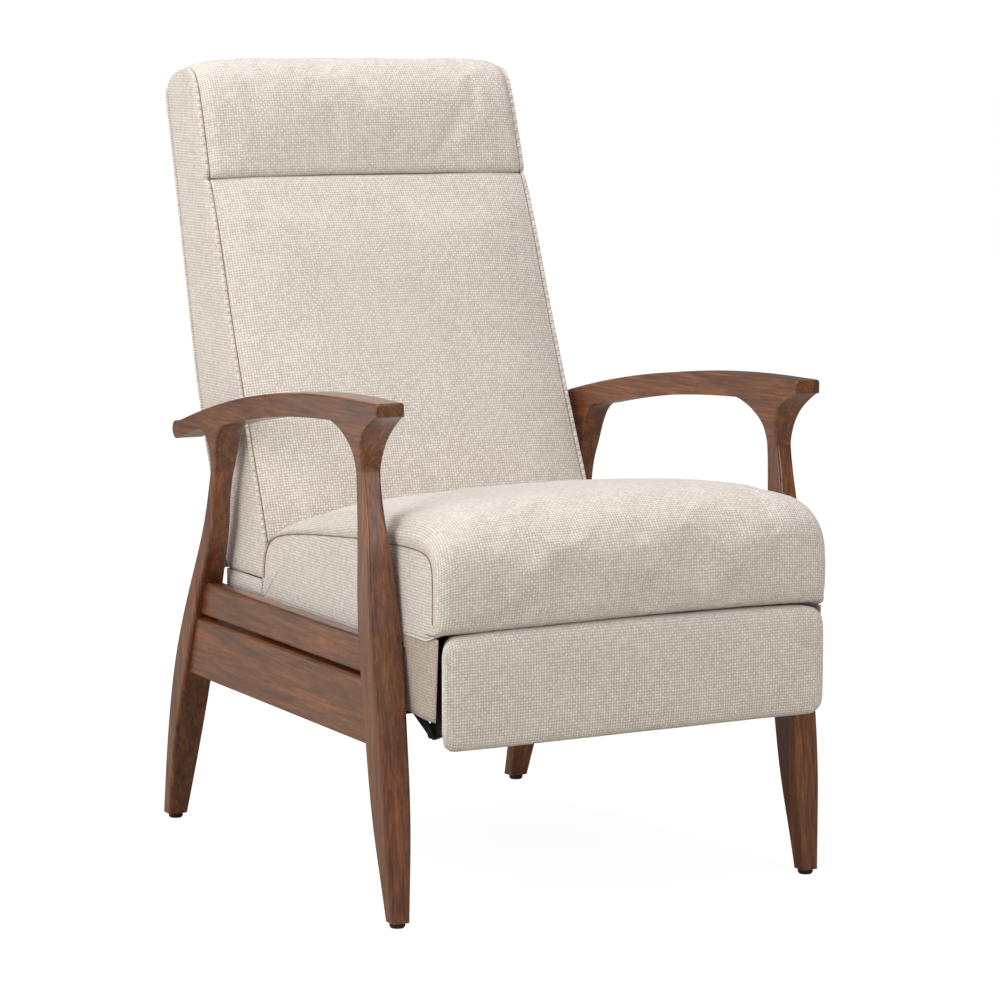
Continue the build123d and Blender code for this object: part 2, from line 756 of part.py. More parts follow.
# Footrest: brackets, board and padded cover
pad_back = footrest_pad_thickness - footrest_front
board_back = pad_back + board_thickness
flange_low = (board_top_pivot[1] + board_low_pivot[1]) / 2 - bracket_flange
with BuildPart() as right_footrest_bracket:
    with BuildSketch(side_view(swing_x)):
        with Locations(board_top_pivot, board_low_pivot):
            Circle(bracket_lobe)
        with Locations((board_back + steel / 2, flange_low + bracket_flange)):
            Rectangle(steel, 2 * bracket_flange)
        make_hull()
    extrude(amount=steel)
    with BuildSketch(side_view(swing_x - bracket_flange)):
        with Locations((board_back + steel / 2, flange_low + bracket_flange)):
            Rectangle(steel, 2 * bracket_flange)
    extrude(amount=bracket_flange)
    add(rod(board_top_pivot, pin_d, reach_x, swing_x))
save_pair("footrest_bracket", right_footrest_bracket.part)


def front_plane(y):
    """Upright plane across the chair at y behind the front glides: X runs right, Y runs up."""
    return Plane(origin=(0, front_glide_y + y, 0), x_dir=(1, 0, 0), z_dir=(0, -1, 0))


with BuildPart() as footrest_board:
    with BuildSketch(front_plane(board_back)):
        with Locations((0, (footrest_bottom + footrest_top) / 2)):
            RectangleRounded(2 * (footrest_half_width - board_margin),
                             footrest_top - footrest_bottom - 2 * board_margin, footrest_corner / 2)
    extrude(amount=board_thickness)
save("footrest_board", footrest_board.part)


def across(share, inset, origin, lean):
    """Plane at a share of the half-width between the toed side frames, inset from their middles.

    Its X runs rearward and its Y up, both leaned back by the given angle, from origin (y, z).
    """
    slope = share * tan(toe)
    turn = atan(slope)
    x = share * (half_track - inset / outward[0]) - slope * origin[0]
    place = (x, front_glide_y + origin[0], origin[1])
    direction = (-slope * cos(lean), cos(lean), -sin(lean))
    return Plane(origin=place, x_dir=direction, z_dir=(cos(turn), sin(turn), 0))


def arcs_and_lines(points, arc_count):
    """Closed outline: arcs through successive threes of the points, then straight lines."""
    for k in range(arc_count):
        ThreePointArc(points[2 * k], points[2 * k + 1], points[2 * k + 2])
    Polyline(points[2 * arc_count:] + points[:1])


def cushion_solid(outline, arc_count, inset, origin, lean):
    """Crowned cushion: outline(crown share) drawn on planes across it and lofted together."""
    rows = [(-share, crown) for share, crown in crown_shares[:0:-1]] + list(crown_shares)
    with BuildPart() as cushion:
        for share, crown in rows:
            with BuildSketch(across(share, inset, origin, lean)):
                with BuildLine():
                    arcs_and_lines(outline(crown), arc_count)
                make_face()
        loft()
    return cushion.part


def footrest_outline(crown):
    """Side outline of the footrest's pad where the crown has the given share."""
    front = -footrest_front
    swell = front - footrest_crown * crown
    middle = (footrest_bottom + footrest_top) / 2
    top = footrest_top + footrest_lift * crown
    corner = footrest_edge * (1 - sqrt(1 / 2))
    return [(front + footrest_edge, footrest_bottom), (front + corner, footrest_bottom + corner),
            (front, footrest_bottom + footrest_edge), (swell, middle), (front, top - footrest_edge),
            (front + corner, top - corner), (front + footrest_edge, top), (pad_back, top),
            (pad_back, footrest_bottom)]


pad_roof = footrest_top + footrest_lift
with BuildPart() as footrest_pad:
    add(cushion_solid(footrest_outline, 3, 0, (0, 0), 0))
    with BuildSketch(front_plane(pad_back)):
        with BuildLine():
            Polyline((-footrest_half_width, pad_roof), (-footrest_half_width, footrest_bottom),
                     (footrest_half_width, footrest_bottom), (footrest_half_width, pad_roof), close=True)
        make_face()
        fillet(vertices().group_by(Axis.Y)[0], radius=footrest_corner)
    extrude(amount=overrun, mode=Mode.INTERSECT)
save("footrest_pad", footrest_pad.part)

# Seat: side rails, ring of four members, webbing, dust cover
with BuildPart() as right_seat_rail:
    with BuildSketch(side_view(seat_plate_x - side_rail_width)):
        Polygon((ring_front, side_rail_bottom), (ring_rear, side_rail_bottom), (ring_rear, ring_bottom),
                (ring_front, ring_bottom), align=None)
    extrude(amount=side_rail_width)
save_pair("seat_rail", right_seat_rail.part)


def board_solid(left, right, near, far, bottom, top):
    """Plain board between two values of x, of y behind the front glides, and of z."""
    with BuildPart() as board:
        with BuildSketch(plan(bottom)):
            Polygon((left, near), (right, near), (right, far), (left, far), align=None)
        extrude(amount=top - bottom)
    return board.part


ring_inner_front = ring_front + ring_member
ring_inner_rear = ring_rear - ring_member
ring_inner_x = ring_half_width - ring_member
save("seat_front_member",
     board_solid(-ring_half_width, ring_half_width, ring_front, ring_inner_front, ring_bottom, ring_top))
save("seat_rear_member",
     board_solid(-ring_half_width, ring_half_width, ring_inner_rear, ring_rear, ring_bottom, ring_top))
save_pair("seat_side_member", board_solid(ring_inner_x, ring_half_width, ring_inner_front,
                                          ring_inner_rear, ring_bottom, ring_top))
straps = []
pitch = (ring_inner_rear - ring_inner_front) / webbing_count
for k in range(webbing_count):
    middle = ring_inner_front + pitch * (k + 1 / 2)
    straps.append(board_solid(-ring_half_width, ring_half_width, middle - webbing_width / 2,
                              middle + webbing_width / 2, ring_top, ring_top + webbing_thickness))
save("seat_webbing", Compound(children=straps))
save("dust_cover", board_solid(-seat_plate_x, seat_plate_x, ring_front, ring_rear,
                               side_rail_bottom - dust_cover_thickness, side_rail_bottom))


def seat_outline(crown):
    """Side outline of the seat cushion where the crown has the given share."""
    points = []
    for row in seat_shares:
        y = -seat_front + row[0] * seat_length - row[3] * crown * seat_bulge
        points.append((y, seat_bottom + row[1] * seat_edge_height + row[2] * crown * seat_crown))
    return points


with BuildPart() as seat_cushion:
    add(cushion_solid(seat_outline, 4, seat_side_inset, (0, 0), 0))
save("seat_cushion", seat_cushion.part)

# Skirts that hang beside the footrest's linkage
step_y = -seat_front + seat_shares[-1][0] * seat_length - soft_gap
skirt_low_top = seat_bottom - soft_gap
skirt_high_top = seat_bottom + seat_shares[-1][1] * seat_edge_height - soft_gap
skirt_length = skirt_front + skirt_rear


def skirt_section(z, depth):
    """Sketch on the level plane at z of the skirt's thickness, folded by the given depth."""
    origin = frame_view(-seat_side_inset).origin + Vector(0, 0, z)
    plane = Plane(origin=origin, x_dir=outward, z_dir=(0, 0, 1))
    outer = [(depth * fold, -skirt_front + share * skirt_length) for share, fold in skirt_fold_shares]
    inner = [(x - skirt_thickness, y) for x, y in outer]
    with BuildSketch(plane) as section:
        with BuildLine():
            Spline(outer)
            Line(outer[-1], inner[-1])
            Spline(inner[::-1])
            Line(inner[0], outer[0])
        make_face()
    return section.sketch


with BuildPart() as right_skirt:
    loft([skirt_section(skirt_high_top, skirt_flat_fold), skirt_section(skirt_bottom, skirt_fold)])
    with BuildSketch(side_view(0)):
        Polygon((-skirt_front, skirt_high_top), (step_y, skirt_high_top), (step_y, skirt_low_top),
                (skirt_rear, skirt_low_top), (skirt_rear, skirt_bottom),
                (-skirt_front + skirt_front_slope, skirt_bottom), align=None)
    extrude(amount=half_track, mode=Mode.INTERSECT)
save_pair("skirt", right_skirt.part)

# Back: outline points as (distance rearward, distance up the slope)
def back_points(rows, crown):
    """Points of a share table of the back, brought forward by their share of the crown."""
    points = []
    for row in rows:
        points.append((row[0] * back_thickness - row[2] * crown * back_crown, row[1] * back_length))
    return points


frame_front = frame_front_share * back_thickness
frame_top = frame_top_share * back_length
cushion_rear = frame_front - soft_gap


def back_cushion_outline(crown):
    """Side outline of the back cushion, its bottom level with the floor."""
    points = back_points(back_shares, crown)
    return points + [(cushion_rear, points[-1][1]), (cushion_rear, cushion_rear * tan(tilt))]


def headrest_outline(crown):
    """Side outline of the headrest cushion, which wraps over the top of the back's frame."""
    points = back_points(headrest_shares, crown)
    return points + [(points[-1][0], frame_top + soft_gap), (cushion_rear, frame_top + soft_gap),
                     (cushion_rear, points[0][1])]


cushion_inset = back_side_inset + panel_thickness + soft_gap
with BuildPart() as back_cushion:
    add(cushion_solid(back_cushion_outline, 3, cushion_inset, back_origin, tilt))
save("back_cushion", back_cushion.part)
with BuildPart() as headrest_cushion:
    add(cushion_solid(headrest_outline, 4, cushion_inset, back_origin, tilt))
save("headrest_cushion", headrest_cushion.part)

# Side panels, rear panel and the wooden frame of the back
rear_points = [(row[0] * back_thickness, row[1] * back_length) for row in rear_shares]


def rear_curve(shift):
    """Rear line of the back from its top downward, brought forward by shift."""
    points = [(v - shift, u) for v, u in rear_points]
    ThreePointArc(points[0], points[1], points[2])
    ThreePointArc(points[2], points[3], points[4])
    Line(points[4], points[5])
    return points


def between(inset):
    """Block as wide as the space between the toed side frames, inset from their middles."""
    with BuildPart() as block:
        with BuildSketch(plan(0)):
            far = 2 * wheelbase
            side = inset / outward[0]
            Polygon((frame_x(0, -side), 0), (frame_x(far, -side), far), (-frame_x(far, -side), far),
                    (-frame_x(0, -side), 0), align=None)
        extrude(amount=2 * arm_height)
    return block.part


inner_block = between(back_side_inset + panel_thickness)
with BuildPart() as right_back_side_panel:
    with BuildSketch(across(1, back_side_inset + panel_thickness, back_origin, tilt)):
        with BuildLine():
            front = back_points(back_shares, 0)
            top = back_points(headrest_shares, 0)
            for run in (front, top):
                for k in range(0, len(run) - 2, 2):
                    ThreePointArc(run[k], run[k + 1], run[k + 2])
            Line(front[-1], top[0])
            Line(top[-2], top[-1])
            tail = rear_curve(0)
            Line(tail[-1], front[0])
        make_face()
    extrude(amount=panel_thickness)
save_pair("back_side_panel", right_back_side_panel.part)

back_side_view = across(0, 0, back_origin, tilt)
with BuildPart() as back_rear_panel:
    with BuildSketch(back_side_view):
        with BuildLine():
            outer_points = rear_curve(0)
            inner_points = rear_curve(panel_thickness)
            Line(outer_points[0], inner_points[0])
            Line(outer_points[-1], inner_points[-1])
        make_face()
    extrude(amount=half_track, both=True)
    with BuildSketch(back_side_view):
        with Locations((0, frame_top / 2)):
            Rectangle(4 * back_thickness, frame_top)
    extrude(amount=half_track, both=True, mode=Mode.INTERSECT)
    add(inner_block, mode=Mode.INTERSECT)
save("back_rear_panel", back_rear_panel.part)

with BuildPart() as right_back_stile:
    with BuildSketch(back_side_view):
        with BuildLine():
            points = rear_curve(panel_thickness)
            Polyline(points[0], (frame_front, points[0][1]), (frame_front, 0), (points[-1][0], 0),
                     points[-1])
        make_face()
    extrude(amount=half_track)
    with BuildSketch(side_view(stile_x)):
        with Locations(back_origin):
            Rectangle(4 * wheelbase, 4 * wheelbase)
    extrude(amount=half_track, mode=Mode.INTERSECT)
    add(inner_block, mode=Mode.INTERSECT)
    # Level end on the tail rail, square end under the headrest
    with BuildSketch(plan(tail_rail_top)):
        with Locations(back_origin):
            Rectangle(2 * wheelbase, 2 * wheelbase)
    extrude(amount=-overrun, mode=Mode.SUBTRACT)
    with BuildSketch(Plane(origin=back_side_view.from_local_coords((0, frame_top, 0)),
                           x_dir=(1, 0, 0), z_dir=back_side_view.y_dir)):
        Rectangle(2 * wheelbase, 2 * wheelbase)
    extrude(amount=overrun, mode=Mode.SUBTRACT)
    # Rebate for the hinge strap
    with BuildSketch(Plane(origin=back_side_view.origin + Vector(strap_x, 0, 0), x_dir=back_side_view.x_dir,
                           z_dir=(1, 0, 0))):
        with Locations((frame_front, 0)):
            Rectangle(6 * ear, 2 * (strap_length + ear))
    extrude(amount=overrun, mode=Mode.SUBTRACT)
save_pair("back_stile", right_back_stile.part)
for name, low, high in back_rail_shares:
    with BuildPart() as back_rail:
        with BuildSketch(back_side_view):
            Polygon((frame_front, low * back_length), (frame_front + back_rail_depth, low * back_length),
                    (frame_front + back_rail_depth, high * back_length), (frame_front, high * back_length),
                    align=None)
        extrude(amount=stile_x, both=True)
    save("back_" + name, back_rail.part)

# Tail of the back: a rail under the stiles, and the covered band round it
with BuildPart() as back_tail_rail:
    add(board_solid(-half_track, half_track, tail_rail_front, tail_rail_rear, tail_rail_bottom,
                    tail_rail_top))
    add(inner_block, mode=Mode.INTERSECT)
    notch = (tail_rail_front, tail_rail_front + 3 * wide_end / 2)
    for low, high in ((strap_x, half_track), (-half_track, -strap_x)):
        add(board_solid(low, high, notch[0], notch[1], tail_rail_bottom, tail_rail_top), mode=Mode.SUBTRACT)
save("back_tail_rail", back_tail_rail.part)
with BuildPart() as back_tail_band:
    add(board_solid(-half_track, half_track, tail_front, tail_rear, tail_bottom, tail_band_top))
    add(between(back_side_inset), mode=Mode.INTERSECT)
    hollow = board_solid(-half_track, half_track, 0, tail_rail_rear, tail_bottom, tail_band_top)
    add(hollow.intersect(inner_block), mode=Mode.SUBTRACT)
save("back_tail_band", back_tail_band.part)

# Hinge straps, riveted to the stiles
strap_top = (back_hinge[0] + strap_length * sin(tilt), back_hinge[1] + strap_length * cos(tilt))
save_group("hinge_straps", link_solid(strap_x, (back_hinge, strap_top), (ear, wide_end), (back_hinge,)))
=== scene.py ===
"""Looks of a pushback recliner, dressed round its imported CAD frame.

The tables are in millimetres, counted from the front glides (y) and the floor (z), as in the CAD
source. The chair faces -Y, and both side frames are toed in, so the cushions narrow to the rear.
"""

from __future__ import annotations

import json
import logging
import math
from dataclasses import dataclass, field
from enum import Enum
from typing import Callable, Sequence

import bmesh
import bpy
import numpy as np
from bpy.types import Material, Mesh, Node, NodeSocket, Object, World
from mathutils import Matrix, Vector, noise

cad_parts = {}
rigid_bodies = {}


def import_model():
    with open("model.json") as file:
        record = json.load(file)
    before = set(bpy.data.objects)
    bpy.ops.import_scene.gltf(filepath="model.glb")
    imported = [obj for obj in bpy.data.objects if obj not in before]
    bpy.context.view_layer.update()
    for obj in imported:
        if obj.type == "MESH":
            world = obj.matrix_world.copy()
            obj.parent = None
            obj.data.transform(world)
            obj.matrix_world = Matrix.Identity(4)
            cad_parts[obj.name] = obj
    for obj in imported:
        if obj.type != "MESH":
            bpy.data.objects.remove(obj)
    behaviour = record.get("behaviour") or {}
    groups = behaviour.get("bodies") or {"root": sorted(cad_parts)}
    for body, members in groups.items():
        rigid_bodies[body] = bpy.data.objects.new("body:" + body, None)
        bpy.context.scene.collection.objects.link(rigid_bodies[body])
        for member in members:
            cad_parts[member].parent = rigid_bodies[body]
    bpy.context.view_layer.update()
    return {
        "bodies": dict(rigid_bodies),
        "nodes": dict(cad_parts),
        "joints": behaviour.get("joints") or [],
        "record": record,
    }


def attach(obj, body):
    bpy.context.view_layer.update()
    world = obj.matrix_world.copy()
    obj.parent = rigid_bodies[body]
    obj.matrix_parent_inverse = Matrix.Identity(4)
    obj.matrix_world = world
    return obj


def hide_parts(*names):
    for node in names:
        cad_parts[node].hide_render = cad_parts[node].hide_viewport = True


LOG = logging.getLogger("recliner")

MM = 0.001
GLIDE_Y = -358.7  # front glides, from the frame's origin
HALF_TRACK = 303.7  # from the middle of the chair to a side frame's plane, at the front glides
TOE = math.radians(2.18)  # turn of each side frame towards the middle at the rear
BACK_ORIGIN = (472.0, 372.0)
BACK_TILT = math.radians(20.5)
SIDES = {"left": -1.0, "right": 1.0}

Pair = tuple[float, float]
Triple = tuple[float, float, float]
Quad = tuple[float, float, float, float]
Row = tuple[float, ...]
Points = np.ndarray
Values = float | Points


def srgb(code: str) -> Quad:
    """Turn a display colour into the linear one that shaders take.

    Args:
        code: Colour as six hex digits after a hash.

    Returns:
        Linear red, green, blue and full alpha.
    """
    channels = [int(code[k : k + 2], 16) / 255 for k in (1, 3, 5)]
    linear = [c / 12.92 if c <= 0.04045 else ((c + 0.055) / 1.055) ** 2.4 for c in channels]
    return linear[0], linear[1], linear[2], 1.0


# Geometry shared by all soft pieces


def between(value: Values, start: float, end: float) -> Values:
    """Return how far a value is on its way from start to end, from 0 to 1."""
    return np.clip((value - start) / (end - start), 0, 1)


def eased(share: Values) -> Values:
    """Return a share from 0 to 1 with a soft start and end."""
    return share * share * (3 - 2 * share)


def hermite(t: Values, near: Values, leaving: Values, far: Values, arriving: Values) -> Values:
    """Return the cubic between two values with the given slopes, at a share t of the way."""
    return (
        (2 * t**3 - 3 * t**2 + 1) * near + (t**3 - 2 * t**2 + t) * leaving
        + (3 * t**2 - 2 * t**3) * far + (t**3 - t**2) * arriving
    )


@dataclass(frozen=True)
class ToedSpace:
    """Space between the two toed side frames, in which cushion outlines are placed."""

    inset: float
    origin: Pair = (0.0, 0.0)
    lean: float = 0.0

    def place(self, outline: Points, share: float, outward: float = 0.0) -> Points:
        """Put a side outline at a share of the half-width.

        Args:
            outline: Points (rearward, upward) in the space's own leaned directions.
            share: Where across the chair, from -1 on the left to 1 on the right.
            outward: Extra distance away from the middle of the chair.

        Returns:
            Points in metres.
        """
        a, b = outline[:, 0], outline[:, 1]
        y = self.origin[0] + a * math.cos(self.lean) + b * math.sin(self.lean)
        z = self.origin[1] - a * math.sin(self.lean) + b * math.cos(self.lean)
        half = HALF_TRACK - self.inset / math.cos(TOE) - math.tan(TOE) * y
        x = share * half + math.copysign(1.0, share) * outward
        return np.stack([x, y + GLIDE_Y, z], axis=1) * MM

    def half_width(self) -> float:
        """Return the half-width at the origin, in millimetres."""
        return HALF_TRACK - self.inset - math.tan(TOE) * self.origin[0]


@dataclass(frozen=True)
class Profile:
    """Side outline of a soft piece: smooth through its rows, then straight through its corners.

    Each row is (rearward, upward, share of the crown's lift, share of its forward bulge, corner
    side), the last 1 on a lower and -1 on an upper edge that rounds off towards the piece's sides.
    The last three are 0 where a row leaves them out.
    """

    rows: Sequence[Row]
    corners: Sequence[Row] = ()
    lift: float = 0.0
    bulge: float = 0.0
    samples: int = 8
    wrap: Callable[[Points], Points] | None = None

    STEP = 14  # about the length of a step along a straight run

    def outline(
        self, crown: float, shrink: float = 0.0, rounding: float = 0.0, back: float = 0.0
    ) -> Points:
        """Sample the closed outline.

        Args:
            crown: Share of the crown at this place across the chair.
            shrink: Distance the outline is drawn in along its normals.
            rounding: Distance that the rows of an edge's corner side are drawn towards the middle.
            back: Distance drawn in as well where the cloth wraps round onto the side face.

        Returns:
            Points (rearward, upward).
        """
        raw = np.array([self._moved(row, crown, rounding) for row in self.rows])
        corners = [np.array(self._moved(row, crown, rounding)) for row in self.corners]
        smooth = self._spline(raw)
        parts = [smooth]
        ends = [smooth[-1], *corners, smooth[0]]
        for near, far in zip(ends, ends[1:]):
            steps = self._steps(len(parts))
            parts.append(near + (far - near) * np.linspace(0, 1, steps + 1)[1:, None])
        points = np.concatenate(parts)[:-1]
        if shrink or back:
            depth = np.full(len(points), shrink, dtype=float)
            if self.wrap is not None:
                depth += back * self.wrap(points)
            ahead = np.roll(points, -1, axis=0) - np.roll(points, 1, axis=0)
            ahead /= np.maximum(np.linalg.norm(ahead, axis=1, keepdims=True), 1e-6)
            side = np.stack([ahead[:, 1], -ahead[:, 0]], axis=1)
            a, b = points[:, 0], points[:, 1]
            area = np.sum(a * np.roll(b, -1) - np.roll(a, -1) * b)
            points = points + side * depth[:, None] * (-1.0 if area > 0 else 1.0)
        return points

    def _steps(self, part: int) -> int:
        """Return how many straight steps a corner run takes, the same on every ring."""
        ends = [self.rows[-1], *self.corners, self.rows[0]]
        near, far = ends[part - 1], ends[part]
        return max(1, round(math.hypot(far[0] - near[0], far[1] - near[1]) / self.STEP))

    def _moved(self, row: Row, crown: float, rounding: float) -> Pair:
        """Return a row's place for a crown share and a corner rounding."""
        rearward, upward, lift, bulge, side = (*row, 0, 0, 0)[:5]
        return (
            rearward - bulge * self.bulge * crown,
            upward + lift * self.lift * crown + side * rounding,
        )

    def _spline(self, raw: Points) -> Points:
        """Interpolate smoothly through all points, a fixed number of samples in each span."""
        ahead = np.vstack([2 * raw[0] - raw[1], raw, 2 * raw[-1] - raw[-2]])
        result = [raw[:1]]
        t = np.linspace(0, 1, self.samples + 1)[1:, None]
        for k in range(len(raw) - 1):
            p0, p1, p2, p3 = span = ahead[k : k + 4]
            d1, d2, d3 = (np.linalg.norm(b - a) ** 0.5 + 1e-6 for a, b in zip(span, span[1:]))
            m1 = (p1 - p0) / d1 - (p2 - p0) / (d1 + d2) + (p2 - p1) / d2
            m2 = (p2 - p1) / d2 - (p3 - p1) / (d2 + d3) + (p3 - p2) / d3
            result.append(hermite(t, p1, m1 * d2, p2, m2 * d2))
        return np.concatenate(result)


def row_curve(rows: Sequence[Row], samples: int, shrink: float = 0.0) -> Points:
    """Take the smooth curve through a side outline's rows, without the straight run that closes it.

    Args:
        rows: Rows of the outline.
        samples: Points in each span between rows.
        shrink: Distance the outline is drawn in along its normals.

    Returns:
        Points (rearward, upward), both ends among them.
    """
    return Profile(rows, samples=samples).outline(0.0, shrink)[: (len(rows) - 1) * samples + 1]


def crown_curve(knots: Sequence[Pair], share: float) -> float:
    """Find the share of the crown at a share of the half-width, smooth through the knots.

    Args:
        knots: Pairs (share of half-width, share of crown), from the middle outward.
        share: Absolute share of the half-width.

    Returns:
        Share of the crown.
    """
    xs = np.array([k[0] for k in knots])
    ys = np.array([k[1] for k in knots])
    slopes = np.gradient(ys, xs)
    slopes[0] = 0.0
    k = int(np.clip(np.searchsorted(xs, share) - 1, 0, len(xs) - 2))
    h = xs[k + 1] - xs[k]
    t = (share - xs[k]) / h
    return float(hermite(t, ys[k], h * slopes[k], ys[k + 1], h * slopes[k + 1]))


@dataclass
class RingMesh:
    """Closed mesh sewn from rings of equal length, with a cloth grid in metres as its UV map."""

    name: str
    rings: list[Points] = field(default_factory=list)
    wander: list[float] = field(default_factory=list)
    flat: list[bool] = field(default_factory=list)

    def add(self, ring: Points, wander: float = 0.0, flat: bool = False) -> None:
        """Add a ring.

        Args:
            ring: Points in metres.
            wander: How much of the cloth's unevenness this ring takes, from 0 to 1.
            flat: Whether the ring lies on a side face, whose cloth is cut flat.
        """
        self.rings.append(ring)
        self.wander.append(wander)
        self.flat.append(flat)

    def build(self, unevenness: Callable[[Vector], float] | None = None) -> Object:
        """Make the object.

        Args:
            unevenness: Height in metres of the cloth's wandering at a point, along its normal.

        Returns:
            The new mesh object.
        """
        mesh = bpy.data.meshes.new(self.name)
        mesh.from_pydata(np.concatenate(self.rings).tolist(), [], self._faces())
        mesh.update()
        self._lay_grid(mesh)
        if unevenness is not None:
            self._roughen(mesh, unevenness)
        obj = bpy.data.objects.new(self.name, mesh)
        bpy.context.scene.collection.objects.link(obj)
        self._outward(obj)
        for polygon in mesh.polygons:
            polygon.use_smooth = True
        return obj

    def _faces(self) -> list[list[int]]:
        """Return the faces between neighbouring rings, and one that closes each end."""
        count, last = len(self.rings[0]), len(self.rings) - 1
        steps = [(k * count, i, (i + 1) % count) for k in range(last) for i in range(count)]
        sides = [[k + i, k + j, k + count + j, k + count + i] for k, i, j in steps]
        first = list(range(count))
        return [*sides, first[::-1], [last * count + i for i in first]]

    def _lay_grid(self, mesh: Mesh) -> None:
        """Write the cloth's grid: the way across the rings and the way along the middle ring."""
        rings = np.stack(self.rings)
        count, middle = rings.shape[1], len(rings) // 2
        steps = np.linalg.norm(np.roll(rings[middle], -1, axis=0) - rings[middle], axis=1)
        along = np.concatenate([[0.0], np.cumsum(steps)])
        gaps = np.linalg.norm(np.diff(rings, axis=0), axis=2)
        reach = np.vstack([np.zeros((1, count)), np.cumsum(gaps, axis=0)])
        reach -= reach[middle]
        layer = mesh.uv_layers.new(name="cloth")
        for polygon in mesh.polygons:
            wraps = len(polygon.vertices) == 4 and polygon.index % count == count - 1
            side_face = all(self.flat[v // count] for v in polygon.vertices)
            for loop in polygon.loop_indices:
                k, i = divmod(mesh.loops[loop].vertex_index, count)
                if side_face:
                    layer.data[loop].uv = (rings[k, i, 1], rings[k, i, 2])
                else:
                    layer.data[loop].uv = (reach[k, i], along[count if wraps and i == 0 else i])

    def _roughen(self, mesh: Mesh, unevenness: Callable[[Vector], float]) -> None:
        """Let the cloth wander along its normals, each ring by its own share."""
        count = len(self.rings[0])
        normals = [v.normal.copy() for v in mesh.vertices]
        for v, normal in zip(mesh.vertices, normals):
            share = self.wander[v.index // count]
            if share:
                v.co += normal * unevenness(v.co) * share
        mesh.update()

    @staticmethod
    def _outward(obj: Object) -> None:
        """Turn all faces outward."""
        work = bmesh.new()
        work.from_mesh(obj.data)
        bmesh.ops.recalc_face_normals(work, faces=work.faces)
        work.to_mesh(obj.data)
        work.free()


def drawn_in(points: Points, spine: tuple[Pair, Pair], share: float) -> Points:
    """Draw an outline in towards a line inside it.

    Args:
        points: Closed outline.
        spine: Two ends of the line.
        share: 0 leaves the outline, 1 brings it onto the line.

    Returns:
        The smaller outline.
    """
    start, end = np.array(spine[0]), np.array(spine[1])
    run = end - start
    place = np.clip(((points - start) @ run) / (run @ run), 0, 1)[:, None]
    return points + (start + place * run - points) * share


def circle(radius: float, sides: int = 8) -> Points:
    """Return a round section of the given radius."""
    angles = np.linspace(0, 2 * math.pi, sides, endpoint=False)
    return radius * np.stack([np.cos(angles), np.sin(angles)], axis=1)


def sweep(name: str, path: Points, section: Points, up: Triple) -> Object:
    """Sweep a section along a path.

    Args:
        name: Name of the object.
        path: Points in metres.
        section: Points (sideways, upward) in metres.
        up: Direction that the section's upward stays nearest to.

    Returns:
        The closed mesh.
    """
    mesh = RingMesh(name)
    tangents = np.gradient(path, axis=0)
    tangents /= np.linalg.norm(tangents, axis=1, keepdims=True)
    for point, tangent in zip(path, tangents):
        side = np.cross(tangent, up)
        side /= np.linalg.norm(side)
        over = np.cross(side, tangent)
        mesh.add(point + section[:, :1] * side + section[:, 1:] * over)
    return mesh.build()


# Finishes


class Graph:
    """Node tree of a material or world, with one way to add a node, its settings and its links."""

    def __init__(self, owner: Material | World) -> None:
        """Empty the owner's tree and give it an output."""
        owner.use_nodes = True
        self.owner = owner
        self.tree = owner.node_tree
        self.tree.nodes.clear()
        kind = "World" if isinstance(owner, World) else "Material"
        self.output = self.add("Output" + kind)

    def add(self, kind: str, inputs: dict | None = None, **settings: object) -> Node:
        """Add a node.

        Args:
            kind: Node type without its "ShaderNode" start.
            inputs: Socket name or number to a value, or to the socket it is linked from.
            **settings: Attributes of the node.

        Returns:
            The new node.
        """
        node = self.tree.nodes.new("ShaderNode" + kind)
        for key, value in settings.items():
            setattr(node, key, value)
        for key, value in (inputs or {}).items():
            if isinstance(value, NodeSocket):
                self.tree.links.new(value, node.inputs[key])
            else:
                node.inputs[key].default_value = value
        return node

    def math(self, operation: str, a: object, b: object = 0, c: object = 0) -> NodeSocket:
        """Add a math node and return its result."""
        return self.add("Math", {0: a, 1: b, 2: c}, operation=operation).outputs[0]

    def ramp(self, factor: object, stops: Sequence[tuple[float, str]]) -> NodeSocket:
        """Add a colour ramp and return its colour."""
        node = self.add("ValToRGB", {0: factor})
        elements = node.color_ramp.elements
        while len(elements) < len(stops):
            elements.new(0.5)
        for element, (place, code) in zip(elements, stops):
            element.position = place
            element.color = srgb(code)
        return node.outputs[0]

    def finish(self, shader: Node) -> Material | World:
        """Link the shader to the output and return the tree's owner."""
        self.tree.links.new(shader.outputs[0], self.output.inputs[0])
        return self.owner


class Grain(Enum):
    """Way that the grain of a wooden piece runs, as the turn that lays it along X."""

    REARWARD = (0.0, 0.0, math.radians(90))
    UPRIGHT = (0.0, math.radians(-90), 0.0)
    ACROSS = (0.0, 0.0, 0.0)


